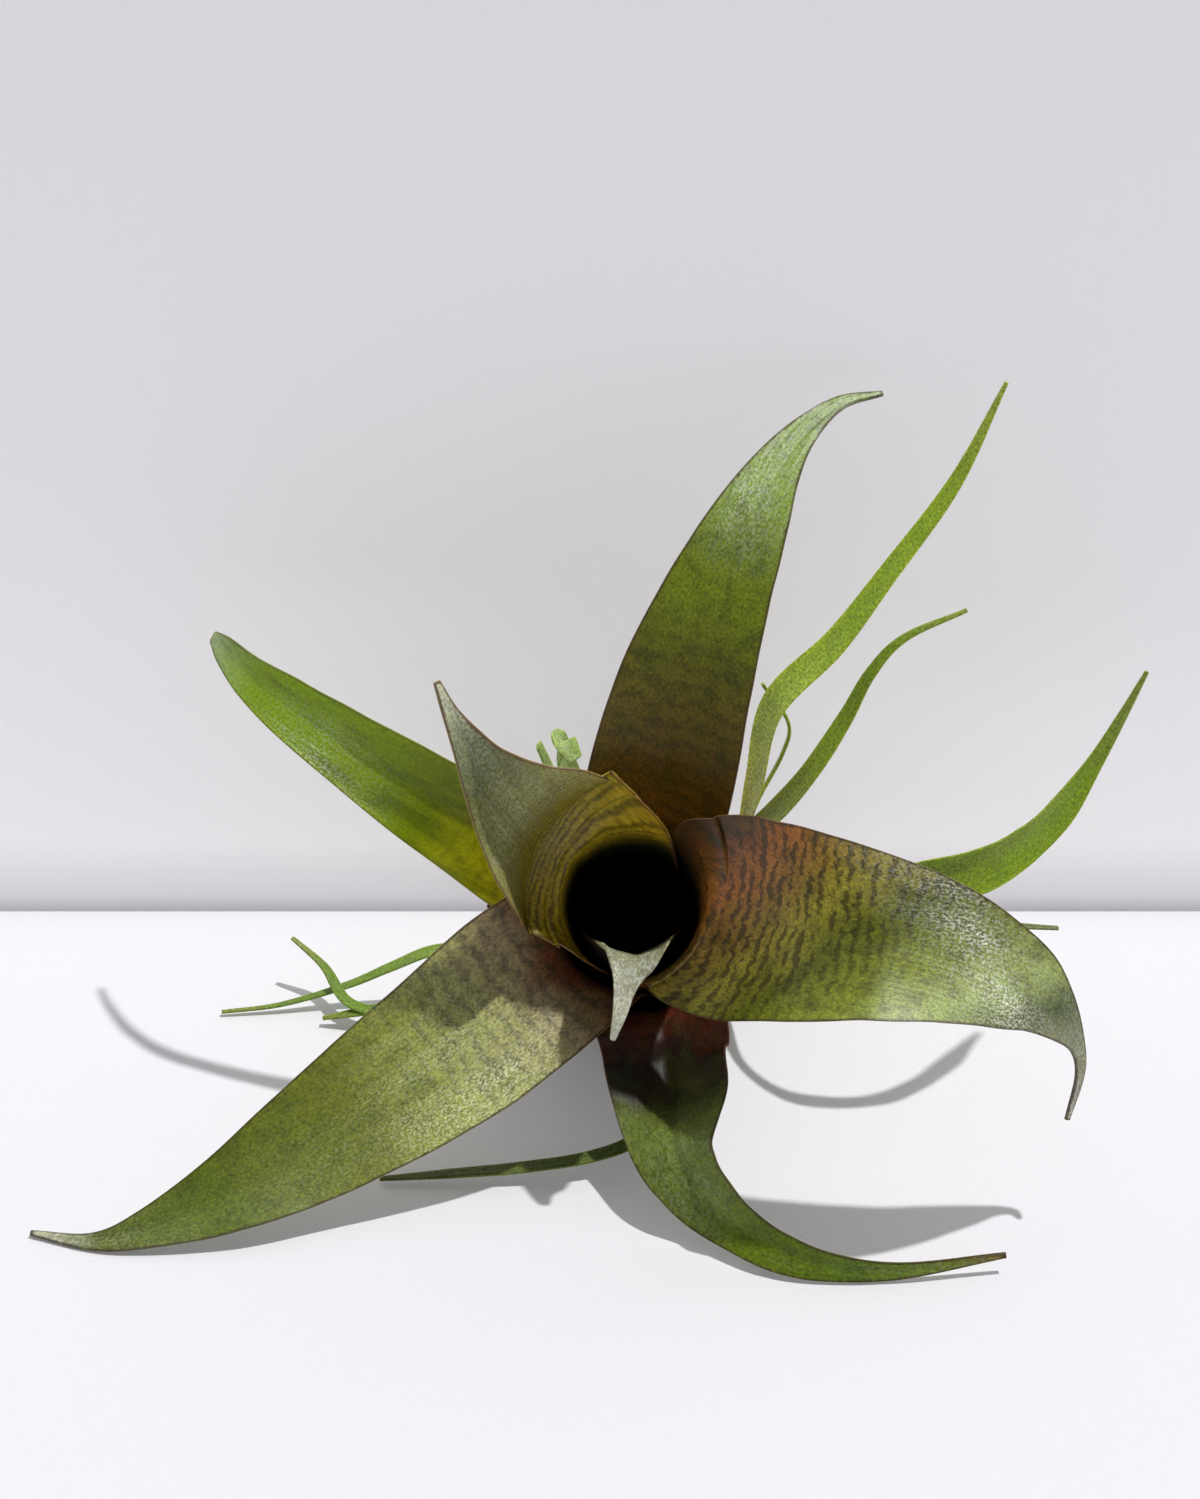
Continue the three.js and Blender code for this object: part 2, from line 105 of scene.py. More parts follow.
def linear(hex_colour: str) -> Colour:
    """Turns an sRGB hex colour into a linear one.

    Args:
        hex_colour: A colour such as "#6f7a2a".

    Returns:
        Red, green, blue and alpha.
    """
    parts = [int(hex_colour[at : at + 2], 16) / 255.0 for at in (1, 3, 5)]
    red, green, blue = (p / 12.92 if p <= 0.04045 else ((p + 0.055) / 1.055) ** 2.4 for p in parts)
    return red, green, blue, 1.0


def add(tree: Tree, kind: str, links: dict[str | int, Feed] | None = None, **settings) -> Node:
    """Adds one node with its settings and links.

    Args:
        tree: The material's node tree.
        kind: The node's type name.
        links: Input name or number to a value, to the node whose first output feeds it, or to a
            (node, output) pair.
        **settings: Properties of the node.

    Returns:
        The new node.
    """
    node = tree.nodes.new(kind)
    for name, value in settings.items():
        setattr(node, name, value)
    for name, value in (links or {}).items():
        feed = (value, 0) if isinstance(value, Node) else value
        if isinstance(feed, tuple) and isinstance(feed[0], Node):
            tree.links.new(feed[0].outputs[feed[1]], node.inputs[name])
        else:
            node.inputs[name].default_value = value
    return node


def paint_ramp(ramp: bpy.types.ShaderNodeValToRGB, stops: Sequence[Stop | Span]) -> None:
    """Sets a colour ramp's stops.

    Args:
        ramp: The ramp node.
        stops: Each stop's place from 0 to 1 and its hex colour, or the grey number it gives, in order.
    """
    elements = ramp.color_ramp.elements
    elements.remove(elements[1])
    for number, (place, tone) in enumerate(stops):
        element = elements[0] if number == 0 else elements.new(place)
        element.position = place
        element.color = linear(tone) if isinstance(tone, str) else (tone, tone, tone, 1.0)


def new_material(name: str) -> tuple[Material, Tree]:
    """Makes an empty material and returns it with its node tree."""
    material = bpy.data.materials.new(name)
    material.use_nodes = True
    material.node_tree.nodes.clear()
    return material, material.node_tree


def deselect() -> None:
    """Leaves nothing selected and no mesh open."""
    if bpy.context.object and bpy.context.object.mode != "OBJECT":
        bpy.ops.object.mode_set(mode="OBJECT")
    bpy.ops.object.select_all(action="DESELECT")


def pick(*pieces: Piece) -> None:
    """Selects only these objects and makes the first one active."""
    deselect()
    for piece in pieces:
        piece.select_set(True)
    bpy.context.view_layer.objects.active = pieces[0]


def apply_modifier(piece: Piece, kind: str, **settings) -> None:
    """Adds one modifier to a piece and applies it."""
    pick(piece)
    modifier = piece.modifiers.new(kind.lower(), kind)
    for name, value in settings.items():
        setattr(modifier, name, value)
    bpy.ops.object.modifier_apply(modifier=modifier.name)


def join(name: str, pieces: Sequence[Piece]) -> Piece:
    """Joins pieces into the first one and names it."""
    pick(*pieces)
    if len(pieces) > 1:
        bpy.ops.object.join()
    joined = bpy.context.view_layer.objects.active
    joined.name = name
    joined.data.name = name
    return joined


def smoothstep(low: float, high: float, at: float) -> float:
    """Returns a soft step from 0 at low to 1 at high."""
    share = min(max((at - low) / (high - low), 0.0), 1.0)
    return share * share * (3.0 - 2.0 * share)


def lerp(low: float, high: float, share: float) -> float:
    """Returns the value that lies at a share of the way from low to high."""
    return low + (high - low) * share


class Curve:
    """A smooth curve through points, which passes each one at a whole number."""

    def __init__(self, points: Sequence[Sequence[float]]) -> None:
        """Keeps the points, with one more beyond each end."""
        inner = [Vector(point) for point in points]
        self.spans = len(inner) - 1
        self.points = [2 * inner[0] - inner[1], *inner, 2 * inner[-1] - inner[-2]]

    def at(self, mark: float) -> Vector:
        """Returns the curve's point at a mark, from 0 to the number of spans."""
        mark = min(max(mark, 0.0), float(self.spans))
        span = min(int(mark), self.spans - 1)
        t = mark - span
        a, b, c, d = self.points[span : span + 4]
        start, end = (c - a) / 2, (d - b) / 2
        return (
            b
            + start * t
            + (3 * (c - b) - 2 * start - end) * t * t
            + (2 * (b - c) + start + end) * t * t * t
        )

    def travel(self, mark: float) -> Vector:
        """Returns the curve's direction at a mark."""
        return (self.at(mark + 0.001) - self.at(mark - 0.001)).normalized()


@dataclass(frozen=True)
class Section:
    """One cross-section of a leaf: an arc round its hollow, `along` millimetres from the leaf's foot."""

    centre: Vector
    forward: Vector
    side: Vector
    face: Vector
    half_width: float
    hollow: float
    lift: float
    along: float

    def skin(self, across: float) -> tuple[Vector, Vector]:
        """Returns a point at a share across the section, from -1 to 1, and the way its upper face looks."""
        turn = across * self.half_width / self.hollow
        point = self.centre + self.side * self.hollow * math.sin(turn)
        point += self.face * self.hollow * (1.0 - math.cos(turn)) + UP * self.lift * across
        sideways = self.side * math.cos(turn) + self.face * math.sin(turn) + UP * self.lift / self.half_width
        return point, sideways.cross(self.forward).normalized()


@dataclass(frozen=True)
class LeafForm:
    """A leaf's form: its stations, and how many of its first spans lie in the tank.

    It thins out from a share of its half width to the margin. Its waves and its crease fade where it is
    narrower than their full widths.
    """

    stations: Sequence[Row]
    sheath_spans: int = 0
    thickness: float = 0.62
    cells: int = 36
    rows_per_span: int = 12
    rows_per_sheath_span: int = 4
    margin_wave: float = 0.0
    thin_margin: float = 0.4
    crease: float = 0.0
    seed: int = 1

    THIN_FROM = 0.55
    WAVES_PER_MM = 0.16
    CREASE_WIDTH = 1.1
    FULL_WAVE_WIDTH = 6.0
    FULL_CREASE_WIDTH = 5.0

    def marks(self) -> list[float]:
        """Returns the place of each row along the stations."""
        spans = len(self.stations) - 1
        marks = [i / self.rows_per_sheath_span for i in range(self.sheath_spans * self.rows_per_sheath_span)]
        blade = (spans - self.sheath_spans) * self.rows_per_span
        return marks + [self.sheath_spans + i / self.rows_per_span for i in range(blade + 1)]

    def upright_share(self, mark: float) -> float:
        """Returns how far a section still lies square to the tank's axis."""
        if not self.sheath_spans:
            return 0.0
        return 1.0 - smoothstep(self.sheath_spans - 0.5, self.sheath_spans + 2.0, mark)

    def sections(self) -> list[Section]:
        """Returns the leaf's cross-sections, one for each row."""
        place = Curve([row[:3] for row in self.stations])
        form = Curve([row[3:6] for row in self.stations])
        lift = Curve([(row[6] if len(row) > 6 else 0.0, 0.0, 0.0) for row in self.stations])
        rows = []
        along = 0.0
        last = place.at(0.0)
        for mark in self.marks():
            centre = place.at(mark)
            half_width, hollow, roll = form.at(mark)
            along += (centre - last).length
            last = centre
            forward = place.travel(mark).lerp(UP, self.upright_share(mark)).normalized()
            out = Vector((centre.x, centre.y, 0.0)).normalized()
            lean = math.acos(min(max(forward.z, -1.0), 1.0))
            face = UP * math.sin(lean) - out * math.cos(lean)
            face = (face - forward * face.dot(forward)).normalized()
            face.rotate(Matrix.Rotation(math.radians(roll), 3, forward))
            side = forward.cross(face)
            rows.append(Section(centre, forward, side, face, half_width, hollow, lift.at(mark).x, along))
        return rows

    def throat(self) -> float:
        """Returns how far along the leaf its blade begins."""
        marks = self.marks()
        sections = self.sections()
        return next(s.along for m, s in zip(marks, sections) if m >= self.sheath_spans - 1e-6)

    def point(self, section: Section, across: float) -> Vector:
        """Returns the point at a share across a section, with its margin's wave and its crease."""
        point, normal = section.skin(across)
        place = Vector((section.along * self.WAVES_PER_MM, math.copysign(4.0, across), self.seed))
        wave = noise.noise(place) * min(1.0, section.half_width / self.FULL_WAVE_WIDTH)
        point += normal * self.margin_wave * wave * abs(across) ** 3
        fold = math.exp(-((across * section.half_width / self.CREASE_WIDTH) ** 2))
        return point - normal * self.crease * fold * min(1.0, section.half_width / self.FULL_CREASE_WIDTH)


def build_leaf(name: str, form: LeafForm, place: Place) -> Piece:
    """Builds one leaf from a flat grid, laid into its form and given its thickness.

    Args:
        name: The new object's name.
        form: The leaf's form in millimetres.
        place: What the form is measured from.

    Returns:
        The leaf, with three material places (upper, under and margin) and two UV maps: millimetres across
        and along it, and millimetres in from its edge with the share across it.
    """
    sections = form.sections()
    rows = len(sections) - 1
    length = sections[-1].along
    deselect()
    bpy.ops.mesh.primitive_grid_add(x_subdivisions=form.cells, y_subdivisions=rows, size=2.0)
    leaf = bpy.context.object
    leaf.name = name
    mesh = leaf.data
    mesh.name = name
    matrix = Matrix.Scale(MM, 4) @ place.matrix()
    flat = []
    edges = []
    body = leaf.vertex_groups.new(name="substance")
    for vertex in mesh.vertices:
        across = vertex.co.x
        row = round((vertex.co.y + 1.0) / 2.0 * rows)
        section = sections[row]
        flat.append((across * section.half_width, section.along))
        inwards = min((1.0 - abs(across)) * section.half_width, length - section.along)
        edges.append((inwards, across))
        vertex.co = matrix @ form.point(section, across)
        thin = lerp(1.0, form.thin_margin, smoothstep(form.THIN_FROM, 1.0, abs(across)))
        body.add([vertex.index], thin, "REPLACE")
    layer = mesh.uv_layers[0]
    layer.name = "leaf_mm"
    rim = mesh.uv_layers.new(name="leaf_edge")
    for loop in mesh.loops:
        layer.data[loop.index].uv = flat[loop.vertex_index]
        rim.data[loop.index].uv = edges[loop.vertex_index]
    apply_modifier(
        leaf,
        "SOLIDIFY",
        thickness=form.thickness * MM,
        offset=0.0,
        vertex_group="substance",
        material_offset=Skin.UNDER.value,
        material_offset_rim=Skin.MARGIN.value,
    )
    pick(leaf)
    bpy.ops.object.shade_smooth_by_angle(angle=LEAF_SMOOTHING)
    return leaf


def ringed_cylinder(name: str, sides: int, rings: int) -> Piece:
    """Builds a unit cylinder that is cut into rings, ready to be bent or swollen."""
    deselect()
    bpy.ops.mesh.primitive_cylinder_add(vertices=sides, radius=1.0, depth=1.0)
    cylinder = bpy.context.object
    cylinder.name = name
    bpy.ops.object.mode_set(mode="EDIT")
    for ring in range(1, rings):
        bpy.ops.mesh.select_all(action="SELECT")
        bpy.ops.mesh.bisect(plane_co=(0, 0, ring / rings - 0.5), plane_no=(0, 0, 1))
    bpy.ops.object.mode_set(mode="OBJECT")
    return cylinder


def build_tube(
    name: str,
    points: Sequence[Point],
    width: Callable[[float], float],
    sides: int = 16,
    steps: int = 24,
    roughness: float = 0.0,
    seed: int = 1,
) -> Piece:
    """Builds a round stem or root from a cylinder that is bent along a smooth curve.

    Args:
        name: The new object's name.
        points: The curve's points in millimetres from the crown's foot.
        width: The radius in millimetres at a share of the way along.
        sides: Sides round it.
        steps: Rings along it.
        roughness: How far its skin wanders, in millimetres.
        seed: Start of the wandering.

    Returns:
        The stem as a closed mesh.
    """
    curve = Curve(points)
    tube = ringed_cylinder(name, sides, steps)
    matrix = Matrix.Scale(MM, 4) @ Place.TABLE.matrix()
    for vertex in tube.data.vertices:
        share = vertex.co.z + 0.5
        mark = share * curve.spans
        centre, forward = curve.at(mark), curve.travel(mark)
        side = forward.cross(TUBE_TURN).normalized()
        turned = side * vertex.co.x + forward.cross(side) * vertex.co.y
        wander = noise.noise(Vector((vertex.co.x * 1.4, vertex.co.y * 1.4, mark * 3.0 + seed * 7.0)))
        vertex.co = matrix @ (centre + turned * (width(share) + roughness * wander))
    pick(tube)
    bpy.ops.object.mode_set(mode="EDIT")
    bpy.ops.mesh.select_all(action="SELECT")
    bpy.ops.mesh.normals_make_consistent(inside=False)
    bpy.ops.object.mode_set(mode="OBJECT")
    bpy.ops.object.shade_smooth_by_angle(angle=STEM_SMOOTHING)
    return tube


class Grain(Enum):
    """A leaf's patterns: millimetres across and along one cell, its detail and its turn of the seed."""

    CLOUD = (6.25, 11.1, 3.0, 0)
    DRIFT = (6.25, 10.0, 2.0, 1)
    JOG = (0.909, 6.25, 2.0, 2)
    BLOT = (2.0, 1.82, 4.0, 3)
    PATCH = (2.38, 3.33, 4.0, 4)
    CELL = (0.357, 0.4545, 2.0, 5)
    SPECK = (0.294, 0.4762, 2.0, 6)
    STREAK = (2.0, 25.0, 3.0, 7)
    FIBRE = (0.2174, 0.3125, 3.0, 8)
    TOOTH = (0.833, 0.4167, 2.0, 9)
    FLECK = (1.0, 0.714, 2.0, 10)


@dataclass(frozen=True)
class LeafFinish:
    """Living vriesea leaf: waxy green skin with wavy cross-bands and silver scales that drink the rain.

    Stops give the colour at a share of the blade from its throat (0) to its tip (1), and the sheath lies
    below 0. Silver gives the strength of the scales the same way, times a number for its left and right
    margin; the scales are real, but they lie thickest where sunlight shines off the leaf, so they also paint
    its sheen. Lean is how far a millimetre across moves the share for the colours, and the silver-and-sheen
    lean for the scales. The band's period, wander and drift and the mottle's grain are in millimetres.
    """

    name: str
    stops: Sequence[Stop]
    under_stops: Sequence[Stop]
    band: str = "#2c2413"
    band_period: float = 2.1
    band_strength: float = 0.6
    band_wander: float = 2.0
    band_break: float = 4.5
    band_drift: float = 3.5
    band_end: float = 0.9
    mottle: str = "#33400f"
    mottle_strength: float = 0.3
    mottle_grain: Span = Grain.PATCH.value[:2]
    speckle: float = 0.42
    # The scales' colour is real, but it also paints the sheen where sunlight shines off the leaf.
    silver: str = "#c6cdb0"
    silver_and_sheen_along: Sequence[Span] = ((0.3, 0.0), (0.6, 0.3), (1.0, 0.5))
    silver_and_sheen_sides: Span = (1.0, 1.0)
    lean: float = 0.0
    silver_and_sheen_lean: float = 0.0
    margin: str = "#3b2418"
    margin_width: float = 0.32
    roughness: float = 0.42
    gloss: float = 0.5
    glow: float = 0.4
    seed: float = 0.0

    SHEATH_SHARE = 0.25
    CLOUD_SHIFT = 0.12
    RIB_SPACING = 0.8
    BUMP_DEPTH = 0.1 * MM
    GLOW_DEPTH = 0.9 * MM
    SEED_TURN = 9.7
    SIDE_REACH = 8.0
    HEM_FADE = 0.3
    FLECK_COLOUR = "#a8957c"
    TANK_SHADE = "#0d0805"

    def skin(self, side: Skin, throat: float, length: float) -> Material:
        """Makes the material of one face of a leaf.

        Args:
            side: Upper or under face.
            throat: Where the blade begins along the leaf, in millimetres.
            length: The leaf's whole length in millimetres.

        Returns:
            A material that reads the leaf's own UV maps, in millimetres.
        """
        upper = side is Skin.UPPER
        material, tree = new_material(f"{self.name}_{side.name.lower()}")
        uv = add(tree, "ShaderNodeUVMap", uv_map="leaf_mm")
        split = add(tree, "ShaderNodeSeparateXYZ", {0: uv})
        share = self.share(tree, split, throat, length, self.lean)
        scaled = self.share(tree, split, throat, length, self.silver_and_sheen_lean)
        cloud = self.grain(tree, uv, Grain.CLOUD)
        lift = {0: cloud, 1: self.CLOUD_SHIFT, 2: -self.CLOUD_SHIFT / 2.0}
        shifted = add(tree, "ShaderNodeMath", lift, operation="MULTIPLY_ADD")
        moved = add(tree, "ShaderNodeMath", {0: share, 1: shifted}, operation="ADD")
        ramp = add(tree, "ShaderNodeValToRGB", {0: moved})
        stops = self.stops if upper else self.under_stops
        paint_ramp(ramp, [(self.placed(at), colour) for at, colour in stops])
        colour = self.banded(tree, uv, split, share, ramp, upper)
        colour = self.mottled(tree, uv, colour)
        colour, scales, reach = self.silver_and_sheen(tree, uv, split, scaled, colour, upper)
        colour = self.edged(tree, uv, share, colour)
        height = self.ribs(tree, uv, split, scales, reach)
        relief = {"Strength": 0.5, "Distance": self.BUMP_DEPTH, "Height": height}
        bump = add(tree, "ShaderNodeBump", relief)
        rough = add(tree, "ShaderNodeMapRange", {0: scales, 1: 0.0, 2: 1.0, 3: self.roughness, 4: 0.6})
        skin = add(
            tree,
            "ShaderNodeBsdfPrincipled",
            {
                "Base Color": colour,
                "Roughness": rough,
                "Normal": bump,
                "IOR": 1.42,
                "Specular IOR Level": self.gloss,
                "Subsurface Weight": self.glow,
                "Subsurface Radius": (1.0, 0.9, 0.2),
                "Subsurface Scale": self.GLOW_DEPTH,
            },
        )
        add(tree, "ShaderNodeOutputMaterial", {0: skin})
        return material

    def placed(self, at: float) -> float:
        """Returns where a share of the blade lies on a ramp that also holds the sheath."""
        return (at + self.SHEATH_SHARE) / (1.0 + self.SHEATH_SHARE)

    def share(self, tree: Tree, split: Node, throat: float, length: float, lean: float = 0.0) -> Node:
        """Adds the place along the leaf, from 0 in its sheath to 1 at its tip."""
        foot = throat - self.SHEATH_SHARE * (length - throat)
        along = add(tree, "ShaderNodeMapRange", {0: (split, 1), 1: foot, 2: length, 3: 0.0, 4: 1.0})
        return add(
            tree, "ShaderNodeMath", {0: split, 1: lean, 2: along}, operation="MULTIPLY_ADD", use_clamp=True
        )

    def grain(self, tree: Tree, uv: Node, kind: Grain, size: Span | None = None) -> Node:
        """Adds one pattern's noise, in cells of its own size or of the one given, in millimetres."""
        across, along, detail, turn = kind.value
        across, along = size or (across, along)
        scale = (1.0 / across, 1.0 / along, 1.0)
        scaled = add(tree, "ShaderNodeVectorMath", {0: uv, 1: scale}, operation="MULTIPLY")
        place = (0.0, 0.0, self.seed + turn * self.SEED_TURN)
        seeded = add(tree, "ShaderNodeVectorMath", {0: scaled, 1: place})
        return add(
            tree, "ShaderNodeTexNoise", {"Vector": seeded, "Scale": 1.0, "Detail": detail, "Roughness": 0.6}
        )

    def mix(self, tree: Tree, share: Feed, low: Feed, high: Feed, blend: str = "MIX") -> Socket:
        """Adds a colour mix and returns the node with its colour output's number."""
        node = add(tree, "ShaderNodeMix", {0: share, 6: low, 7: high}, data_type="RGBA", blend_type=blend)
        return node, 2

    def ease(self, tree: Tree, value: Node, span: Span, out: Span) -> Node:
        """Adds a soft step over a span of values, from out's first number to its second."""
        return add(
            tree,
            "ShaderNodeMapRange",
            {0: value, 1: span[0], 2: span[1], 3: out[0], 4: out[1]},
            interpolation_type="SMOOTHSTEP",
        )

    def banded(self, tree: Tree, uv: Node, split: Node, share: Node, colour: Feed, upper: bool) -> Socket:
        """Lays wavy dark cross-bands over the leaf, which jog, swell and break from vein to vein."""
        slow = self.grain(tree, uv, Grain.DRIFT)
        jogs = self.grain(tree, uv, Grain.JOG)
        blots = self.grain(tree, uv, Grain.BLOT)
        drift = {0: slow, 1: self.band_drift, 2: (split, 1)}
        warp = add(tree, "ShaderNodeMath", drift, operation="MULTIPLY_ADD")
        jogged = add(
            tree, "ShaderNodeMath", {0: jogs, 1: self.band_wander, 2: warp}, operation="MULTIPLY_ADD"
        )
        turned = add(
            tree, "ShaderNodeMath", {0: jogged, 1: 2.0 * math.pi / self.band_period}, operation="MULTIPLY"
        )
        wave = add(tree, "ShaderNodeMath", {0: turned}, operation="SINE")
        swollen = add(
            tree, "ShaderNodeMath", {0: blots, 1: self.band_break, 2: wave}, operation="MULTIPLY_ADD"
        )
        middle = 0.5 * self.band_break
        line = self.ease(tree, swollen, (middle - 0.1, middle + 1.1), (0.0, 1.0))
        end = self.placed(self.band_end)
        fade = self.ease(tree, share, (end * 0.6, end), (self.band_strength, 0.0))
        weight = add(tree, "ShaderNodeMath", {0: line, 1: fade}, operation="MULTIPLY")
        kept = add(tree, "ShaderNodeMath", {0: weight, 1: 1.0 if upper else 0.6}, operation="MULTIPLY")
        return self.mix(tree, kept, colour, linear(self.band))

    def mottled(self, tree: Tree, uv: Node, colour: Socket) -> Socket:
        """Darkens the leaf in soft patches a few millimetres wide, and in grains about 0.4 mm wide."""
        patch = self.grain(tree, uv, Grain.PATCH, self.mottle_grain)
        patches = self.ease(tree, patch, (0.46, 0.66), (0.0, self.mottle_strength))
        dark = self.mix(tree, patches, colour, linear(self.mottle))
        cell = self.grain(tree, uv, Grain.CELL)
        shade = add(
            tree,
            "ShaderNodeMapRange",
            {0: cell, 1: 0.3, 2: 0.7, 3: 1.0 - self.speckle, 4: 1.0 + self.speckle},
        )
        return self.mix(tree, 1.0, dark, shade, "MULTIPLY")

    def silver_and_sheen(
        self, tree: Tree, uv: Node, split: Node, share: Node, colour: Socket, upper: bool
    ) -> tuple[Socket, Node, Node]:
        """Scatters silver scales about 0.3 mm wide, in streaks along the leaf: real scales, and a painted
        sheen.

        Returns:
            The colour, the node that gives how much of a scale lies at a point, and the one that gives how
            many lie round it.
        """
        speck = self.grain(tree, uv, Grain.SPECK)
        dots = self.ease(tree, speck, (0.44, 0.62), (0.1, 1.0))
        streak = self.grain(tree, uv, Grain.STREAK)
        streaks = add(tree, "ShaderNodeMapRange", {0: streak, 1: 0.35, 2: 0.65, 3: 0.35, 4: 1.0})
        reach = add(tree, "ShaderNodeValToRGB", {0: share})
        paint_ramp(reach, [(self.placed(at), strength) for at, strength in self.silver_and_sheen_along])
        left, right = self.silver_and_sheen_sides
        span = {1: -self.SIDE_REACH, 2: self.SIDE_REACH, 3: left, 4: right}
        sides = add(tree, "ShaderNodeMapRange", {0: split, **span})
        sided = add(tree, "ShaderNodeMath", {0: reach, 1: sides}, operation="MULTIPLY")
        rows = add(tree, "ShaderNodeMath", {0: streaks, 1: sided}, operation="MULTIPLY")
        scales = add(tree, "ShaderNodeMath", {0: rows, 1: dots}, operation="MULTIPLY")
        weight = add(
            tree,
            "ShaderNodeMath",
            {0: scales, 1: 1.0 if upper else 1.3},
            operation="MULTIPLY",
            use_clamp=True,
        )
        return self.mix(tree, weight, colour, linear(self.silver)), scales, sided

    def edged(self, tree: Tree, uv: Node, share: Node, colour: Socket) -> Socket:
        """Draws the thin dark hem along the blade's edge, finely uneven in width."""
        rim = add(tree, "ShaderNodeUVMap", uv_map="leaf_edge")
        inwards = add(tree, "ShaderNodeSeparateXYZ", {0: rim})
        teeth = self.grain(tree, uv, Grain.TOOTH)
        uneven = add(tree, "ShaderNodeMath", {0: teeth, 1: 0.5, 2: inwards}, operation="MULTIPLY_ADD")
        hem = self.ease(tree, uneven, (self.margin_width, self.margin_width + self.HEM_FADE), (0.8, 0.0))
        return self.mix(tree, hem, colour, linear(self.margin))

    def ribs(self, tree: Tree, uv: Node, split: Node, scales: Node, reach: Node) -> Node:
        """Raises fine ribs, higher where many scales lie, with the scales themselves and a fine grain."""
        pace = 2.0 * math.pi / self.RIB_SPACING
        turned = add(tree, "ShaderNodeMath", {0: split, 1: pace}, operation="MULTIPLY")
        rib = add(tree, "ShaderNodeMath", {0: turned}, operation="SINE")
        grain = self.grain(tree, uv, Grain.FIBRE)
        swell = add(tree, "ShaderNodeMath", {0: reach, 1: 0.4, 2: 0.1}, operation="MULTIPLY_ADD")
        height = add(tree, "ShaderNodeMath", {0: rib, 1: swell, 2: grain}, operation="MULTIPLY_ADD")
        return add(tree, "ShaderNodeMath", {0: scales, 1: 0.3, 2: height}, operation="MULTIPLY_ADD")

    def edge(self, throat: float, length: float) -> Material:
        """Makes the leaf's dark, finely uneven margin, darker still inside the tank as painted shade."""
        material, tree = new_material(f"{self.name}_margin")
        uv = add(tree, "ShaderNodeUVMap", uv_map="leaf_mm")
        split = add(tree, "ShaderNodeSeparateXYZ", {0: uv})
        share = self.share(tree, split, throat, length)
        fleck = self.grain(tree, uv, Grain.FLECK)
        ramp = add(tree, "ShaderNodeValToRGB", {0: fleck})
        paint_ramp(ramp, ((0.5, self.margin), (0.75, self.FLECK_COLOUR)))
        free = self.ease(tree, share, (self.placed(0.0), self.placed(0.12)), (0.0, 1.0))
        colour = self.mix(tree, free, linear(self.TANK_SHADE), ramp)
        skin = add(
            tree,
            "ShaderNodeBsdfPrincipled",
            {"Base Color": colour, "Roughness": 0.55, "IOR": 1.42, "Specular IOR Level": 0.28},
        )
        add(tree, "ShaderNodeOutputMaterial", {0: skin})
        return material

    def dress(self, leaf: Piece, throat: float, length: float) -> None:
        """Gives a leaf its three materials."""
        leaf.data.materials.clear()
        for material in (
            self.skin(Skin.UPPER, throat, length),
            self.skin(Skin.UNDER, throat, length),
            self.edge(throat, length),
        ):
            leaf.data.materials.append(material)


@dataclass(frozen=True)
class RootFinish:
    """Dry bromeliad stem and root: a dull brown fibrous husk over wood."""

    dark: str = "#2a1d14"
    light: str = "#6d543a"
    fibre_mm: float = 0.5
    middle: str = "#4a3524"

    def material(self, name: str) -> Material:
        """Makes the husk, darker in its cracks and pale on its raised fibres."""
        material, tree = new_material(name)
        place = add(tree, "ShaderNodeTexCoord")
        fibre = add(
            tree,
            "ShaderNodeTexNoise",
            {"Vector": (place, 3), "Scale": 1.0 / (self.fibre_mm * MM), "Detail": 4.0, "Roughness": 0.65},
        )
        ramp = add(tree, "ShaderNodeValToRGB", {0: fibre})
        paint_ramp(ramp, ((0.35, self.dark), (0.55, self.middle), (0.72, self.light)))
        bump = add(tree, "ShaderNodeBump", {"Strength": 0.7, "Distance": 0.0003, "Height": fibre})
        husk = add(
            tree,
            "ShaderNodeBsdfPrincipled",
            {"Base Color": ramp, "Roughness": 0.88, "Normal": bump, "Specular IOR Level": 0.25},
        )
        add(tree, "ShaderNodeOutputMaterial", {0: husk})
        return material


# Painted shade: near-black stops for the sheath inside the tank, where the shade lies deep.
SHADED_THROAT = ((-0.25, "#070503"), (-0.06, "#120c06"))
PALE_UNDER = ((-0.25, "#4a3a22"), (0.0, "#5a4d2c"), (0.3, "#62672f"), (0.7, "#71803f"), (1.0, "#8c9866"))

# Painted shade: the heart's dark stop just past its throat stands for the shade down in the tank.
HEART = LeafFinish(
    "vriesea_leaf_silver_scaled",
    (
        *SHADED_THROAT,
        (0.05, "#15120a"), (0.2, "#969669"), (0.45, "#858768"), (0.7, "#cacaad"), (1.0, "#c0c3ad"),
    ),
    PALE_UNDER,
    band_strength=0.0, mottle_strength=0.1, silver="#f0f2e8",
    silver_and_sheen_along=((0.1, 0.0), (0.25, 0.4), (0.7, 0.8), (1.0, 0.8)),
    margin="#7a5b48", margin_width=0.05, seed=1.3,
)
# Painted shade and light: the near-black sheath stops stand for the shade in the tank, and the bright yellow
# just above the throat partly stands for sun shining through the cup's far wall, over its own stripes.
CUP = LeafFinish(
    "vriesea_leaf_olive_striped",
    (
        (-0.25, "#050402"), (-0.12, "#080502"), (-0.05, "#5c4f0e"), (0.03, "#ac951f"), (0.2, "#908324"),
        (0.4, "#919351"), (0.62, "#6c7233"), (0.8, "#8c9468"), (1.0, "#cbcfb5"),
    ),
    PALE_UNDER,
    band="#33290a", band_period=0.85, band_wander=0.5, band_break=3.0, band_drift=0.7, band_end=0.5,
    mottle_strength=0.15, silver="#d4d6c4",
    silver_and_sheen_along=((0.2, 0.0), (0.36, 0.35), (0.6, 0.25), (0.78, 0.5), (0.86, 0.8), (1.0, 0.8)),
    margin="#5a3424", margin_width=0.4, glow=0.85, seed=2.1,
)
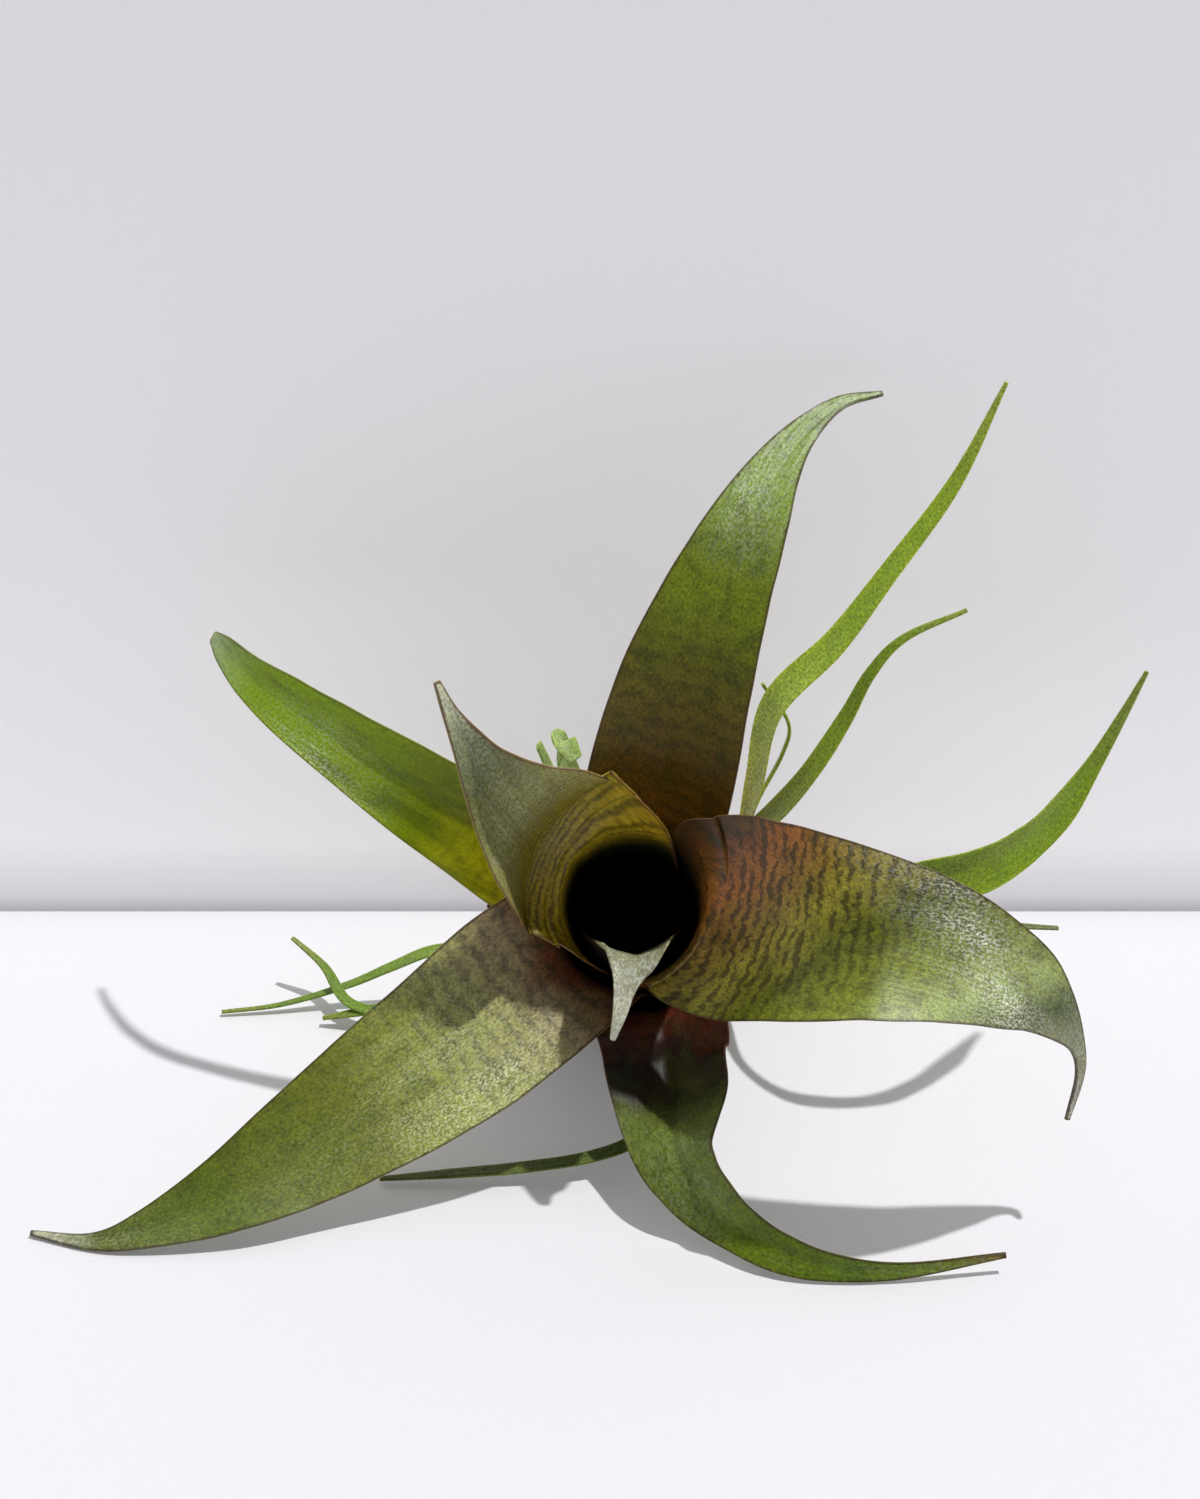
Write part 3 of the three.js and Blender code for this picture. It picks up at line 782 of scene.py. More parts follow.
# Painted shade: the lean keeps the dark brown of the base further out on the upper side, which lies in
# shadow, over its own brown; the dark first stop is the shade in the tank. The silver peak at 0.6 is mostly
# a painted sheen.
BANDED = LeafFinish(
    "vriesea_leaf_purple_banded",
    (
        (-0.25, "#1c1008"), (-0.12, "#5a3818"), (0.0, "#ad6c28"), (0.1, "#a17e2b"), (0.22, "#9e9532"),
        (0.34, "#646b1a"), (0.5, "#86912b"), (0.64, "#a0af62"), (0.74, "#4c5920"), (0.9, "#929473"),
        (1.0, "#ebe5d7"),
    ),
    PALE_UNDER,
    band="#30260f", band_period=1.8, band_strength=0.72, band_wander=2.2, band_break=7.5, band_drift=2.6,
    band_end=0.62, mottle="#2f330c", mottle_strength=0.45, silver="#f2f6e4",
    silver_and_sheen_along=((0.4, 0.0), (0.5, 0.3), (0.6, 0.95), (0.67, 0.35), (0.76, 0.1), (1.0, 0.5)),
    lean=0.012, silver_and_sheen_lean=-0.01, roughness=0.38, seed=3.7,
)
# Painted highlight: the silver stops and sides lay a sheen of sunlight along the lower margin, from 0.16 to
# 0.32, over real scales.
OLIVE = LeafFinish(
    "vriesea_leaf_olive_mottled",
    (
        *SHADED_THROAT,
        (0.03, "#713920"), (0.09, "#9a8860"), (0.18, "#a6a764"), (0.3, "#959f40"), (0.42, "#727a1c"),
        (0.7, "#5d6e13"), (0.88, "#56640e"), (1.0, "#bdbfa7"),
    ),
    PALE_UNDER,
    band="#4a4038", band_period=2.5, band_strength=0.55, band_wander=2.6, band_end=0.45,
    mottle_strength=0.35, silver="#eaeec0",
    silver_and_sheen_along=(
        (0.06, 0.0), (0.16, 0.55), (0.24, 0.8), (0.32, 0.65), (0.44, 0.2), (0.7, 0.05), (1.0, 0.4),
    ),
    silver_and_sheen_sides=(1.35, 0.35), roughness=0.36, seed=4.9,
)
# Painted highlight: the silver stops lay a sheen of sunlight on the outer part, over real scales.
RISING = LeafFinish(
    "vriesea_leaf_green_brown_base",
    (
        (-0.25, "#3c260c"), (0.0, "#8b5b18"), (0.18, "#635015"), (0.34, "#5e5e16"), (0.46, "#6e7c14"),
        (0.56, "#6c7e16"), (0.68, "#86a038"), (0.84, "#7c9530"), (1.0, "#8ea45c"),
    ),
    PALE_UNDER,
    band="#2e2c0c", band_period=2.6, band_strength=0.4, band_wander=3.0, band_end=0.6, mottle_strength=0.45,
    silver="#e8eed8",
    silver_and_sheen_along=((0.5, 0.0), (0.66, 0.5), (0.8, 0.35), (1.0, 0.35)),
    silver_and_sheen_sides=(1.2, 0.6), roughness=0.36, seed=5.4,
)
# Painted shade: the near-black stops from 0.12 to 0.19 stand for the front leaf's top lying in the right
# leaf's shadow, over its maroon base.
LOW = LeafFinish(
    "vriesea_leaf_maroon_base_painted_shade",
    (
        *SHADED_THROAT,
        (0.03, "#552512"), (0.12, "#170a03"), (0.19, "#2b2808"), (0.26, "#647228"), (0.5, "#697c0d"),
        (0.72, "#5a7304"), (0.86, "#6f841c"), (0.95, "#7a7630"), (1.0, "#8a5a34"),
    ),
    PALE_UNDER,
    band="#1c120b", band_period=2.2, band_strength=0.4, band_wander=2.6, band_end=0.3, silver="#d4dcbc",
    silver_and_sheen_along=((0.22, 0.0), (0.3, 0.15), (0.4, 0.2), (0.55, 0.03), (1.0, 0.2)),
    gloss=0.3, seed=6.2,
)
# Painted light: the greens are lightened to make up for the sun that the turned blade hardly catches, and
# the silver stops and sides lay a sheen on its lower margin.
FRESH = LeafFinish(
    "vriesea_leaf_fresh_green",
    (
        (-0.25, "#3a2f10"), (0.02, "#93821f"), (0.2, "#8f9107"), (0.34, "#7a8b07"), (0.6, "#8eac08"),
        (0.8, "#8aa810"), (0.9, "#90ae48"), (1.0, "#a4b284"),
    ),
    PALE_UNDER,
    band="#33370c", band_period=2.8, band_strength=0.3, band_wander=3.0, band_end=0.36, mottle="#2c3806",
    mottle_strength=0.48, mottle_grain=(3.33, 16.7), silver="#eef4d8",
    silver_and_sheen_along=((0.36, 0.0), (0.52, 0.4), (0.6, 0.75), (0.68, 0.5), (0.78, 0.2), (1.0, 0.3)),
    speckle=0.22, silver_and_sheen_sides=(1.3, -0.3), margin="#56601c", glow=0.6, gloss=0.25, roughness=0.34, seed=7.8,
)
GRASS = LeafFinish(
    "vriesea_pup_leaf",
    (
        (-0.25, "#a9a85a"), (0.0, "#98a44c"), (0.2, "#7e9830"), (0.5, "#6c8c1c"), (0.8, "#668418"),
        (1.0, "#848c3a"),
    ),
    ((-0.25, "#a9a85a"), (0.3, "#84a63a"), (1.0, "#8aa048")),
    band_strength=0.0, mottle="#46601c", mottle_strength=0.25,
    silver_and_sheen_along=((0.0, 0.12), (1.0, 0.12)),
    margin="#6d7a2a", margin_width=0.05, glow=0.7, gloss=0.32, roughness=0.36, seed=8.6,
)
PALE_GRASS = replace(
    GRASS,
    name="vriesea_pup_leaf_pale",
    stops=((-0.25, "#8c9c50"), (0.4, "#8ca44c"), (1.0, "#9cb468")),
    under_stops=((-0.25, "#8c9c50"), (1.0, "#98ac60")),
    mottle_strength=0.1,
)
# Painted light: a much lighter copy of the pup leaf for a blade that looks sunlit and shone through, though
# it faces away from the key light.
PAINTED_SUNLIT_GRASS = replace(
    GRASS,
    name="vriesea_pup_leaf_painted_sunlit",
    stops=(
        (-0.25, "#e1d191"), (0.0, "#d3d380"), (0.25, "#bdd15d"), (0.5, "#abc83b"), (0.8, "#9cb828"),
        (1.0, "#abb853"),
    ),
    under_stops=((-0.25, "#c8c878"), (0.3, "#a8cc50"), (1.0, "#a0b850")),
    mottle="#6a8c24",
)
# Painted light: a lighter copy of the pup leaf for blades that catch little of the key light.
PAINTED_LIGHT_GRASS = replace(
    GRASS,
    name="vriesea_pup_leaf_painted_light",
    stops=(
        (-0.25, "#a8a85c"), (0.0, "#9ca44c"), (0.25, "#90a232"), (0.5, "#869f20"), (0.8, "#7c9618"),
        (1.0, "#8c9a44"),
    ),
    mottle="#5a7420",
)
# Painted shade: a darker copy of the pup leaf for the long low leaf that lies in shadow.
PAINTED_SHADE_GRASS = replace(
    GRASS,
    name="vriesea_pup_leaf_painted_shade",
    stops=((-0.25, "#7a7c3c"), (0.2, "#55681e"), (0.5, "#4a6012"), (1.0, "#5c6424")),
    under_stops=((-0.25, "#7a7c3c"), (0.3, "#5a7426"), (1.0, "#607034")),
    mottle="#33461a",
)


@dataclass
class TankLeaf:
    """One leaf of the tank: its sheath round the axis and its blade, in the tank's own millimetres."""

    name: str
    slot: str
    finish: LeafFinish
    layer: int
    clock: float
    wrap: float
    throat_wrap: float
    throat: float
    blade: Sequence[Row]
    margin_wave: float = 0.35
    crease: float = 0.12

    def radius(self, height: float) -> float:
        """Returns the sheath's radius at a height up the axis."""
        after = next(i for i, mark in enumerate(TANK_PROFILE) if mark[0] >= height)
        (low, start), (high, end) = TANK_PROFILE[max(after, 1) - 1], TANK_PROFILE[max(after, 1)]
        return lerp(start, end, smoothstep(low, high, height)) + self.layer * SHEATH_STEP

    def form(self) -> LeafForm:
        """Returns the leaf's form with its sheath's stations first."""
        angle = math.radians(self.clock)
        sheath = []
        for height in (mark for mark in SHEATH_HEIGHTS if mark < self.throat - THROAT_LENGTH):
            radius = self.radius(height)
            narrowing = smoothstep(0.3, 1.0, height / self.throat)
            half_wrap = math.radians(lerp(self.wrap, self.throat_wrap, narrowing))
            place = (radius * math.cos(angle), radius * math.sin(angle), height)
            sheath.append((*place, radius * half_wrap, radius, 0.0))
        return LeafForm(
            stations=[*sheath, *self.blade],
            sheath_spans=len(sheath),
            margin_wave=self.margin_wave,
            crease=self.crease,
            seed=self.layer + 3,
        )

    def build(self) -> Piece:
        """Builds, dresses and mounts the leaf."""
        form = self.form()
        leaf = build_leaf(f"{self.name}_blade", form, Place.TANK)
        self.finish.dress(leaf, form.throat(), form.sections()[-1].along)
        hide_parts(self.name)
        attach(leaf, "root")
        return leaf


@dataclass
class Pup:
    """A young offset: a short neck with narrow leaves, in millimetres from the crown's foot.

    Its first leaf may have a finish of its own.
    """

    name: str
    neck: Sequence[Point]
    neck_radius: float
    leaves: Sequence[Sequence[Row]]
    finish: LeafFinish = GRASS
    first_finish: LeafFinish | None = None
    taper: float = 0.28
    taper_from: float = 0.55

    def build(self) -> Piece:
        """Builds, dresses and mounts the pup as one piece."""
        parts = []
        first, last = Vector(self.neck[0]), Vector(self.neck[-1])
        for number, stations in enumerate(self.leaves):
            form = LeafForm(stations=stations, thickness=0.5, cells=10, rows_per_span=8, thin_margin=0.5)
            leaf = build_leaf(f"{self.name}_leaf_{number}", form, Place.TABLE)
            finish = self.first_finish if number == 0 and self.first_finish else self.finish
            finish.dress(leaf, 0.0, form.sections()[-1].along)
            parts.append(leaf)
        neck = build_tube(
            f"{self.name}_neck",
            self.neck,
            lambda share: self.neck_radius * (1.0 - self.taper * smoothstep(self.taper_from, 1.0, share)),
            roughness=0.12,
        )
        neck.data.materials.append(RootFinish("#4d4a26", "#a3a468", 0.8).material(f"{self.name}_neck_skin"))
        parts.append(neck)
        pup = join(f"{self.name}_growth", parts)
        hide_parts(self.name)
        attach(pup, "root")
        LOG.info("%s stands %.1f mm from its foot to its neck", self.name, (last - first).length)
        return pup


@dataclass
class Crown:
    """The knob that every leaf grows from, with its stubs and wiry roots."""

    knob_profile: Sequence[tuple[float, float]] = (
        (-5.2, 0.0), (-4.9, 4.4), (-3.4, 7.6), (-1.4, 9.3), (0.2, 9.3), (0.3, 2.2), (9.0, 2.1), (10.0, 0.0),
    )
    knob_sides: int = 48
    knob_rings: int = 40
    root_radius: float = 0.6
    fine_radius: float = 0.28
    fine_count: int = 22
    fine_back: Span = (12.0, 12.8)
    stub_radius: float = 1.6
    roots: Sequence[Sequence[Point]] = (
        ((2, 2, 5), (4, 8, 3), (9, 11, 0.9), (17, 12, 0.8)),
        ((-1, 2, 5), (-3, 8, 3), (-6, 12, 0.9), (-12, 13, 0.8)),
        ((3, 2, 4), (7, 6, 2.4), (14, 7, 0.8), (22, 5, 1.4)),
        ((-3, 3, 5), (-9, 5, 5), (-15, 6, 8), (-21, 6.5, 10)),
        ((-3, 2, 5), (-9, 5, 3), (-16, 8, 3.4), (-21, 9, 6)),
        ((-2, 2, 4), (-8, 6, 1.4), (-15, 9, 0.8), (-23, 11, 0.8)),
        ((1, 3, 4), (2, 9, 2), (3, 12, 0.8), (9, 13, 1.1)),
    )
    stubs: Sequence[Sequence[Point]] = (
        ((5, 4.6, 6.9), (9.0, 7.0, 6.8), (9.8, 6.2, 9.0)),
        ((6, -0.3, 2.6), (10.1, -1.5, 2.4), (12.3, -2.4, 3.4)),
        ((-0.7, 6, 9), (-1.1, 8.7, 11.1), (-2.0, 9.2, 13.4)),
        ((-6, -0.3, 2.6), (-10.1, -1.4, 2.6), (-12.5, -1.8, 3.4)),
    )

    def knob(self) -> Piece:
        """Builds the knob and stem from a stack of rings round the tank's axis."""
        knob = ringed_cylinder("knob", self.knob_sides, self.knob_rings)
        matrix = Matrix.Scale(MM, 4) @ Place.TANK.matrix()
        marks = len(self.knob_profile) - 1
        for vertex in knob.data.vertices:
            mark = min((vertex.co.z + 0.5) * marks, marks - 1e-6)
            low, high = self.knob_profile[int(mark)], self.knob_profile[int(mark) + 1]
            height = lerp(low[0], high[0], mark - int(mark))
            radius = max(lerp(low[1], high[1], mark - int(mark)), 0.01)
            rough = noise.noise(Vector((vertex.co.x * 4.0, vertex.co.y * 4.0, height * 0.8)))
            radius *= 1.0 - 0.05 * abs(rough)
            vertex.co = matrix @ Vector((vertex.co.x * radius, vertex.co.y * radius, height))
            vertex.co.z = max(vertex.co.z, 0.0)
        pick(knob)
        bpy.ops.object.shade_smooth_by_angle(angle=KNOB_SMOOTHING)
        return knob

    def fine_roots(self) -> list[Piece]:
        """Builds short thin rootlets out of the knob's back, the same on every run."""
        draw = random.Random(11)
        made = []
        for number in range(self.fine_count):
            turn = math.radians(draw.uniform(20.0, 160.0))
            reach = draw.uniform(5.0, 11.0)
            start = Vector((4.5 * math.cos(turn), 3.0 + 2.5 * math.sin(turn), draw.uniform(2.5, 7.0)))
            middle = start + Vector((reach * 0.5 * math.cos(turn), reach * 0.4 * math.sin(turn), -1.0))
            end = start + Vector(
                (reach * math.cos(turn + draw.uniform(-0.5, 0.5)), reach * 0.7 * math.sin(turn), 0.0)
            )
            middle.y = min(middle.y, self.fine_back[0])
            end.y = min(end.y, self.fine_back[1])
            end.z = draw.uniform(0.5, 3.5)
            made.append(
                build_tube(
                    f"rootlet_{number}",
                    (tuple(start), tuple(middle), tuple(end)),
                    lambda share: self.fine_radius * (1.0 - 0.6 * share),
                    sides=6,
                    steps=8,
                    roughness=0.06,
                    seed=number,
                )
            )
        return made

    def build(self) -> Piece:
        """Builds, dresses and mounts the crown as one piece."""
        parts = [self.knob()]
        for number, points in enumerate(self.roots):
            parts.append(
                build_tube(
                    f"root_{number}",
                    points,
                    lambda share: self.root_radius * (1.0 - 0.45 * share),
                    sides=10,
                    steps=26,
                    roughness=0.16,
                    seed=number + 40,
                )
            )
        for number, points in enumerate(self.stubs):
            parts.append(
                build_tube(f"stub_{number}", points, lambda share: self.stub_radius, steps=12, roughness=0.2)
            )
        parts.extend(self.fine_roots())
        husk = RootFinish().material("bromeliad_root_husk")
        for part in parts:
            part.data.materials.clear()
            part.data.materials.append(husk)
        crown = join("crown_with_roots_husk", parts)
        for vertex in crown.data.vertices:
            vertex.co.z = max(vertex.co.z, 0.0)
        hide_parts("crown_with_roots")
        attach(crown, "root")
        return crown


TANK_LEAVES = (
    TankLeaf(
        "leaf_1_heart", "leaf_silver", HEART, 0, -85, 150, 70, 41,
        (
            (0.5, -7.1, 45, 6.4, 7.4, 0), (0.6, -7.5, 48, 5.8, 7, 0), (0.5, -8.1, 50.2, 5.2, 6, 0),
            (0, -9.2, 51.8, 4, 5, 0), (-0.6, -11, 52.6, 2.2, 5, 0), (-1.1, -13.1, 52.6, 1.4, 4, 0),
            (-1.6, -15.6, 51.9, 1, 4, 0), (-2.1, -17.4, 51, 0.7, 3, 0), (-2.6, -19, 49.6, 0.4, 3, 0),
        ),
        margin_wave=0.0,
        crease=0.3,
    ),
    TankLeaf(
        "leaf_2_cup", "leaf_olive", CUP, 1, 145, 125, 104, 40,
        (
            (-7.8, 5.7, 44, 14.9, 9.2, 0, 6), (-9.8, 6.8, 45.5, 14.6, 10.6, 0, 7.5),
            (-12.6, 8.3, 47.3, 14.1, 12, 0, 8.5), (-14.9, 9.5, 53.3, 11.4, 11.6, 0, 5.5),
            (-17.1, 11.5, 57.1, 7.9, 9.5, 0, 4.5), (-19.9, 14.8, 62.1, 4.4, 7, 0, 2.5),
            (-21.9, 18.1, 65.8, 2.5, 5, 0, 1), (-23.9, 21.6, 68.8, 1.2, 4, 0, 0),
            (-25.6, 25.4, 70.6, 0.5, 3, 0, 0),
        ),
        margin_wave=0.3,
        crease=0.25,
    ),
    TankLeaf(
        "leaf_3_right", "leaf_banded", BANDED, 2, -16, 110, 68, 43,
        (
            (9.9, -2, 48, 12, 11, 0, -7.5), (12, -3.4, 50.2, 13.2, 14.5, 0, -9.8),
            (16.6, -4.7, 54.4, 13.4, 24, 0, -8), (23.6, -6.3, 61.1, 12.9, 28, 0, -2.5),
            (32.1, -7.8, 64.5, 11.4, 26, 0), (40.5, -9.6, 63.8, 9.6, 22, 0), (47.2, -11.7, 61.8, 7.7, 18, 0),
            (52.5, -13.8, 58.8, 5.8, 14, 0), (56.7, -16.9, 54.6, 3.4, 9, 0), (59.2, -19.9, 50.8, 1.5, 5, 0),
            (59.9, -23.5, 48, 0.8, 4, 0), (58.5, -29.2, 44.6, 0.4, 3, 0),
        ),
    ),
    TankLeaf(
        "leaf_4_left_front", "leaf_olive", OLIVE, 3, -142, 100, 66, 29,
        (
            (-8.6, -6, 33.5, 11.8, 11.4, 0, 1.5), (-11, -7.9, 36, 12.4, 14, 0, 1.5),
            (-16, -11.9, 37.3, 12.3, 20, 0, 1), (-23.4, -18, 37.4, 11.6, 24, 0, 0.5),
            (-32.8, -24.7, 37.3, 10.4, 26, 0), (-44.6, -32.7, 37.8, 8.2, 22, 0),
            (-54.5, -38.8, 38.7, 5.8, 16, 8), (-65.3, -43.5, 39, 3, 10, 16),
            (-72.8, -45.2, 38.8, 1.3, 6, 20), (-81.5, -43.9, 37, 0.4, 4, 20),
        ),
    ),
    TankLeaf(
        "leaf_5_top", "leaf_fresh", RISING, 4, 77, 100, 56, 34,
        (
            (2.8, 12, 40, 11, 13, 0), (3.6, 15, 45, 10.8, 15, 0), (4.9, 20, 50, 10.4, 18, 0),
            (7.2, 28.5, 53.5, 9.4, 20, 0), (11, 39, 55.5, 7.8, 16, 0), (15.8, 50.2, 56, 5.7, 11, 0),
            (19.5, 58, 54.8, 3.7, 8, 0), (23.4, 63.9, 53, 2.2, 6, 0), (28.6, 68.7, 51, 1.1, 4, 0),
            (34.7, 70.6, 49.5, 0.4, 3, 0),
        ),
    ),
    TankLeaf(
        "leaf_6_front", "leaf_shaded", LOW, 5, -75, 95, 45, 26,
        (
            (3.4, -13, 30, 10, 14, 0), (4.4, -16.4, 32.8, 10, 13, 0), (4.8, -20.5, 33.2, 9.4, 12, 0, -1.5),
            (5.4, -26.6, 36, 8.7, 11, 0, -3), (5.7, -33.1, 40.6, 5.9, 13, 6, -3.6),
            (7.6, -37, 42.2, 4.7, 11, 12, -3), (10.4, -40.3, 42.4, 4.1, 9, 16, -2.5),
            (14, -43.4, 42.4, 3.4, 7, 20, -1), (19.4, -46.7, 43.4, 2.9, 6, 22),
            (26, -48.8, 44.4, 2.1, 6, 24), (36, -49.4, 44.2, 1.2, 4, 24), (50, -47.3, 43.8, 0.4, 3, 24),
        ),
        crease=0.45,
    ),
    TankLeaf(
        "leaf_7_left", "leaf_fresh", FRESH, 6, 154, 95, 40, 26,
        (
            (-12.8, 6.3, 31, 9.4, 14.5, 0), (-15.2, 7.6, 36.5, 8.4, 14, -6),
            (-18.6, 9.4, 40.4, 7.8, 14, -15), (-23.4, 12.2, 43, 7.3, 15, -24),
            (-29.6, 15.9, 44.6, 6.8, 16, -29), (-37.4, 20.9, 45.5, 5.8, 15, -30),
            (-46.9, 27.4, 45, 4.4, 11, -28), (-52.6, 32.2, 42.2, 3.2, 8, -25),
            (-56.4, 36.6, 38.2, 2.1, 6, -21), (-58.5, 39.4, 34.8, 0.9, 4, -17),
        ),
    ),
)

PUPS = (
    Pup(
        "pup_back_right",
        ((9.8, 6.2, 9), (13, 3, 18), (17, -2.5, 31)),
        1.9,
        (
            (
                (16.4, -1.6, 28, 1.7, 3, 20), (18, -2.6, 38, 2.1, 4, 40), (20.2, -3.3, 51.3, 2.3, 6, 45),
                (28.6, -2.3, 61.1, 2, 7, 45), (35.5, -1.3, 71.5, 1.6, 7, 40), (44.2, 0.7, 84.7, 1.2, 6, 35),
                (50.5, 2.7, 99, 0.3, 4, 30),
            ),
            (
                (16.4, -1.6, 28, 1.5, 3, 20), (20.6, -7.6, 36, 2, 4, 40), (25.2, -8.8, 43.6, 1.7, 5, 45),
                (30, -6.3, 51, 1.3, 5, 45), (33.4, -4.3, 57.2, 0.9, 5, 45), (38, -2.3, 61.7, 0.6, 4, 45),
                (46.7, -0.3, 65, 0.3, 4, 40),
            ),
            (
                (16.6, -1.8, 29, 0.6, 3, 0), (18.6, -0.4, 34, 0.5, 3, 0), (21.8, 0.7, 40.8, 0.5, 3, 0),
                (22.4, 0.7, 45.9, 0.5, 3, 0), (18.6, 0.9, 52.2, 0.4, 3, 0),
            ),
        ),
        finish=PAINTED_LIGHT_GRASS,
        first_finish=PAINTED_SUNLIT_GRASS,
    ),
    Pup(
        "pup_right",
        ((12.2, -2.4, 3.4), (14.6, -3.4, 4.6), (17, -5, 7)),
        1.9,
        (
            (
                (16, -4.4, 6, 1.6, 3, 0), (19.5, -10, 15, 1.9, 4, 10), (25, -18, 25, 2.1, 5, 45),
                (33, -23.8, 33, 2.7, 6, 60), (40.6, -25.3, 36.4, 3.2, 6, 72), (47.8, -24.5, 38, 3.5, 6, 82),
                (53.8, -21.2, 39.7, 3.1, 6, 89), (59.3, -16.8, 42.4, 2.5, 6, 93),
                (64.2, -12.6, 47.6, 1.3, 6, 96), (68.2, -9.9, 54.2, 0.7, 5, 96),
                (71.1, -8.4, 60, 0.3, 4, 94),
            ),
            (
                (16, -4.4, 6, 1.2, 3, 0), (30.7, -4.3, 12, 1.4, 5, 0), (47.7, -1.3, 12, 1, 5, 0),
                (63, 0.7, 10, 0.4, 4, 0),
            ),
            (
                (15.4, -4.4, 5.6, 1.1, 3, 0), (13.4, -11, 5.4, 1.1, 5, 0), (10, -21, 5.2, 1.1, 5, 0),
                (6.6, -31.6, 4.8, 1.1, 5, 0), (1.2, -40.6, 4, 1.1, 5, 0), (-5.6, -43.8, 3, 1.1, 5, 0),
                (-15.3, -45.2, 2.2, 1.1, 5, 0), (-25, -45.6, 1.5, 0.9, 5, 0), (-34.7, -45.8, 0.8, 0.4, 4, 0),
            ),
        ),
        finish=PAINTED_SHADE_GRASS,
        first_finish=PAINTED_LIGHT_GRASS,
    ),
    Pup(
        "pup_back",
        ((-2, 9.2, 13.4), (-3.5, 10, 17), (-5.5, 10, 22)),
        1.8,
        (
            ((-4.6, 10, 19.4, 0.9, 3, 0), (-9.8, 9, 28, 1, 3, 0), (-13.2, 6.7, 38.2, 0.8, 3, 0)),
            (
                (-4.8, 10, 20, 1.3, 3, 0), (-7.6, 8.4, 28, 2, 4, 0), (-10, 6.4, 36.6, 2.3, 4, 0),
                (-9.6, 4, 40.4, 2, 4, 0), (-7.6, 1.4, 39.2, 0.9, 3, 0),
            ),
        ),
        finish=PALE_GRASS,
    ),
    Pup(
        "pup_left",
        ((-12.4, -1.8, 3.4), (-14.6, -2.2, 4.2), (-17.4, -2.6, 5.6)),
        1.9,
        (
            (
                (-16, -2.4, 5, 1.2, 3, 0), (-22, -3.4, 8.8, 1.4, 4, 0), (-28.6, -4.3, 9.4, 1.3, 5, 0),
                (-34.7, -4.3, 6.6, 1.1, 5, 0), (-41.4, -4.8, 3.6, 0.8, 5, 0), (-51.1, -6.4, 1.3, 0.5, 5, 0),
                (-59.7, -7.4, 0.7, 0.3, 4, 0),
            ),
            (
                (-16, -2.6, 5, 1, 3, 0), (-25, -9, 4.6, 1, 4, 0), (-34, -11, 3.2, 1, 4, 0),
                (-41, -8.4, 3.2, 1, 4, 0), (-44.8, -2.6, 5.4, 0.8, 4, 0), (-49.6, 1, 8, 0.4, 4, 0),
            ),
            (
                (-16, -2.6, 5, 1, 3, 0), (-24, -7, 5.4, 1.1, 4, 0), (-31, -9.6, 4.2, 1, 4, 0),
                (-38.3, -10, 2.8, 1, 4, 0), (-44.7, -9.8, 1.4, 0.4, 3, 0),
            ),
        ),
    ),
)


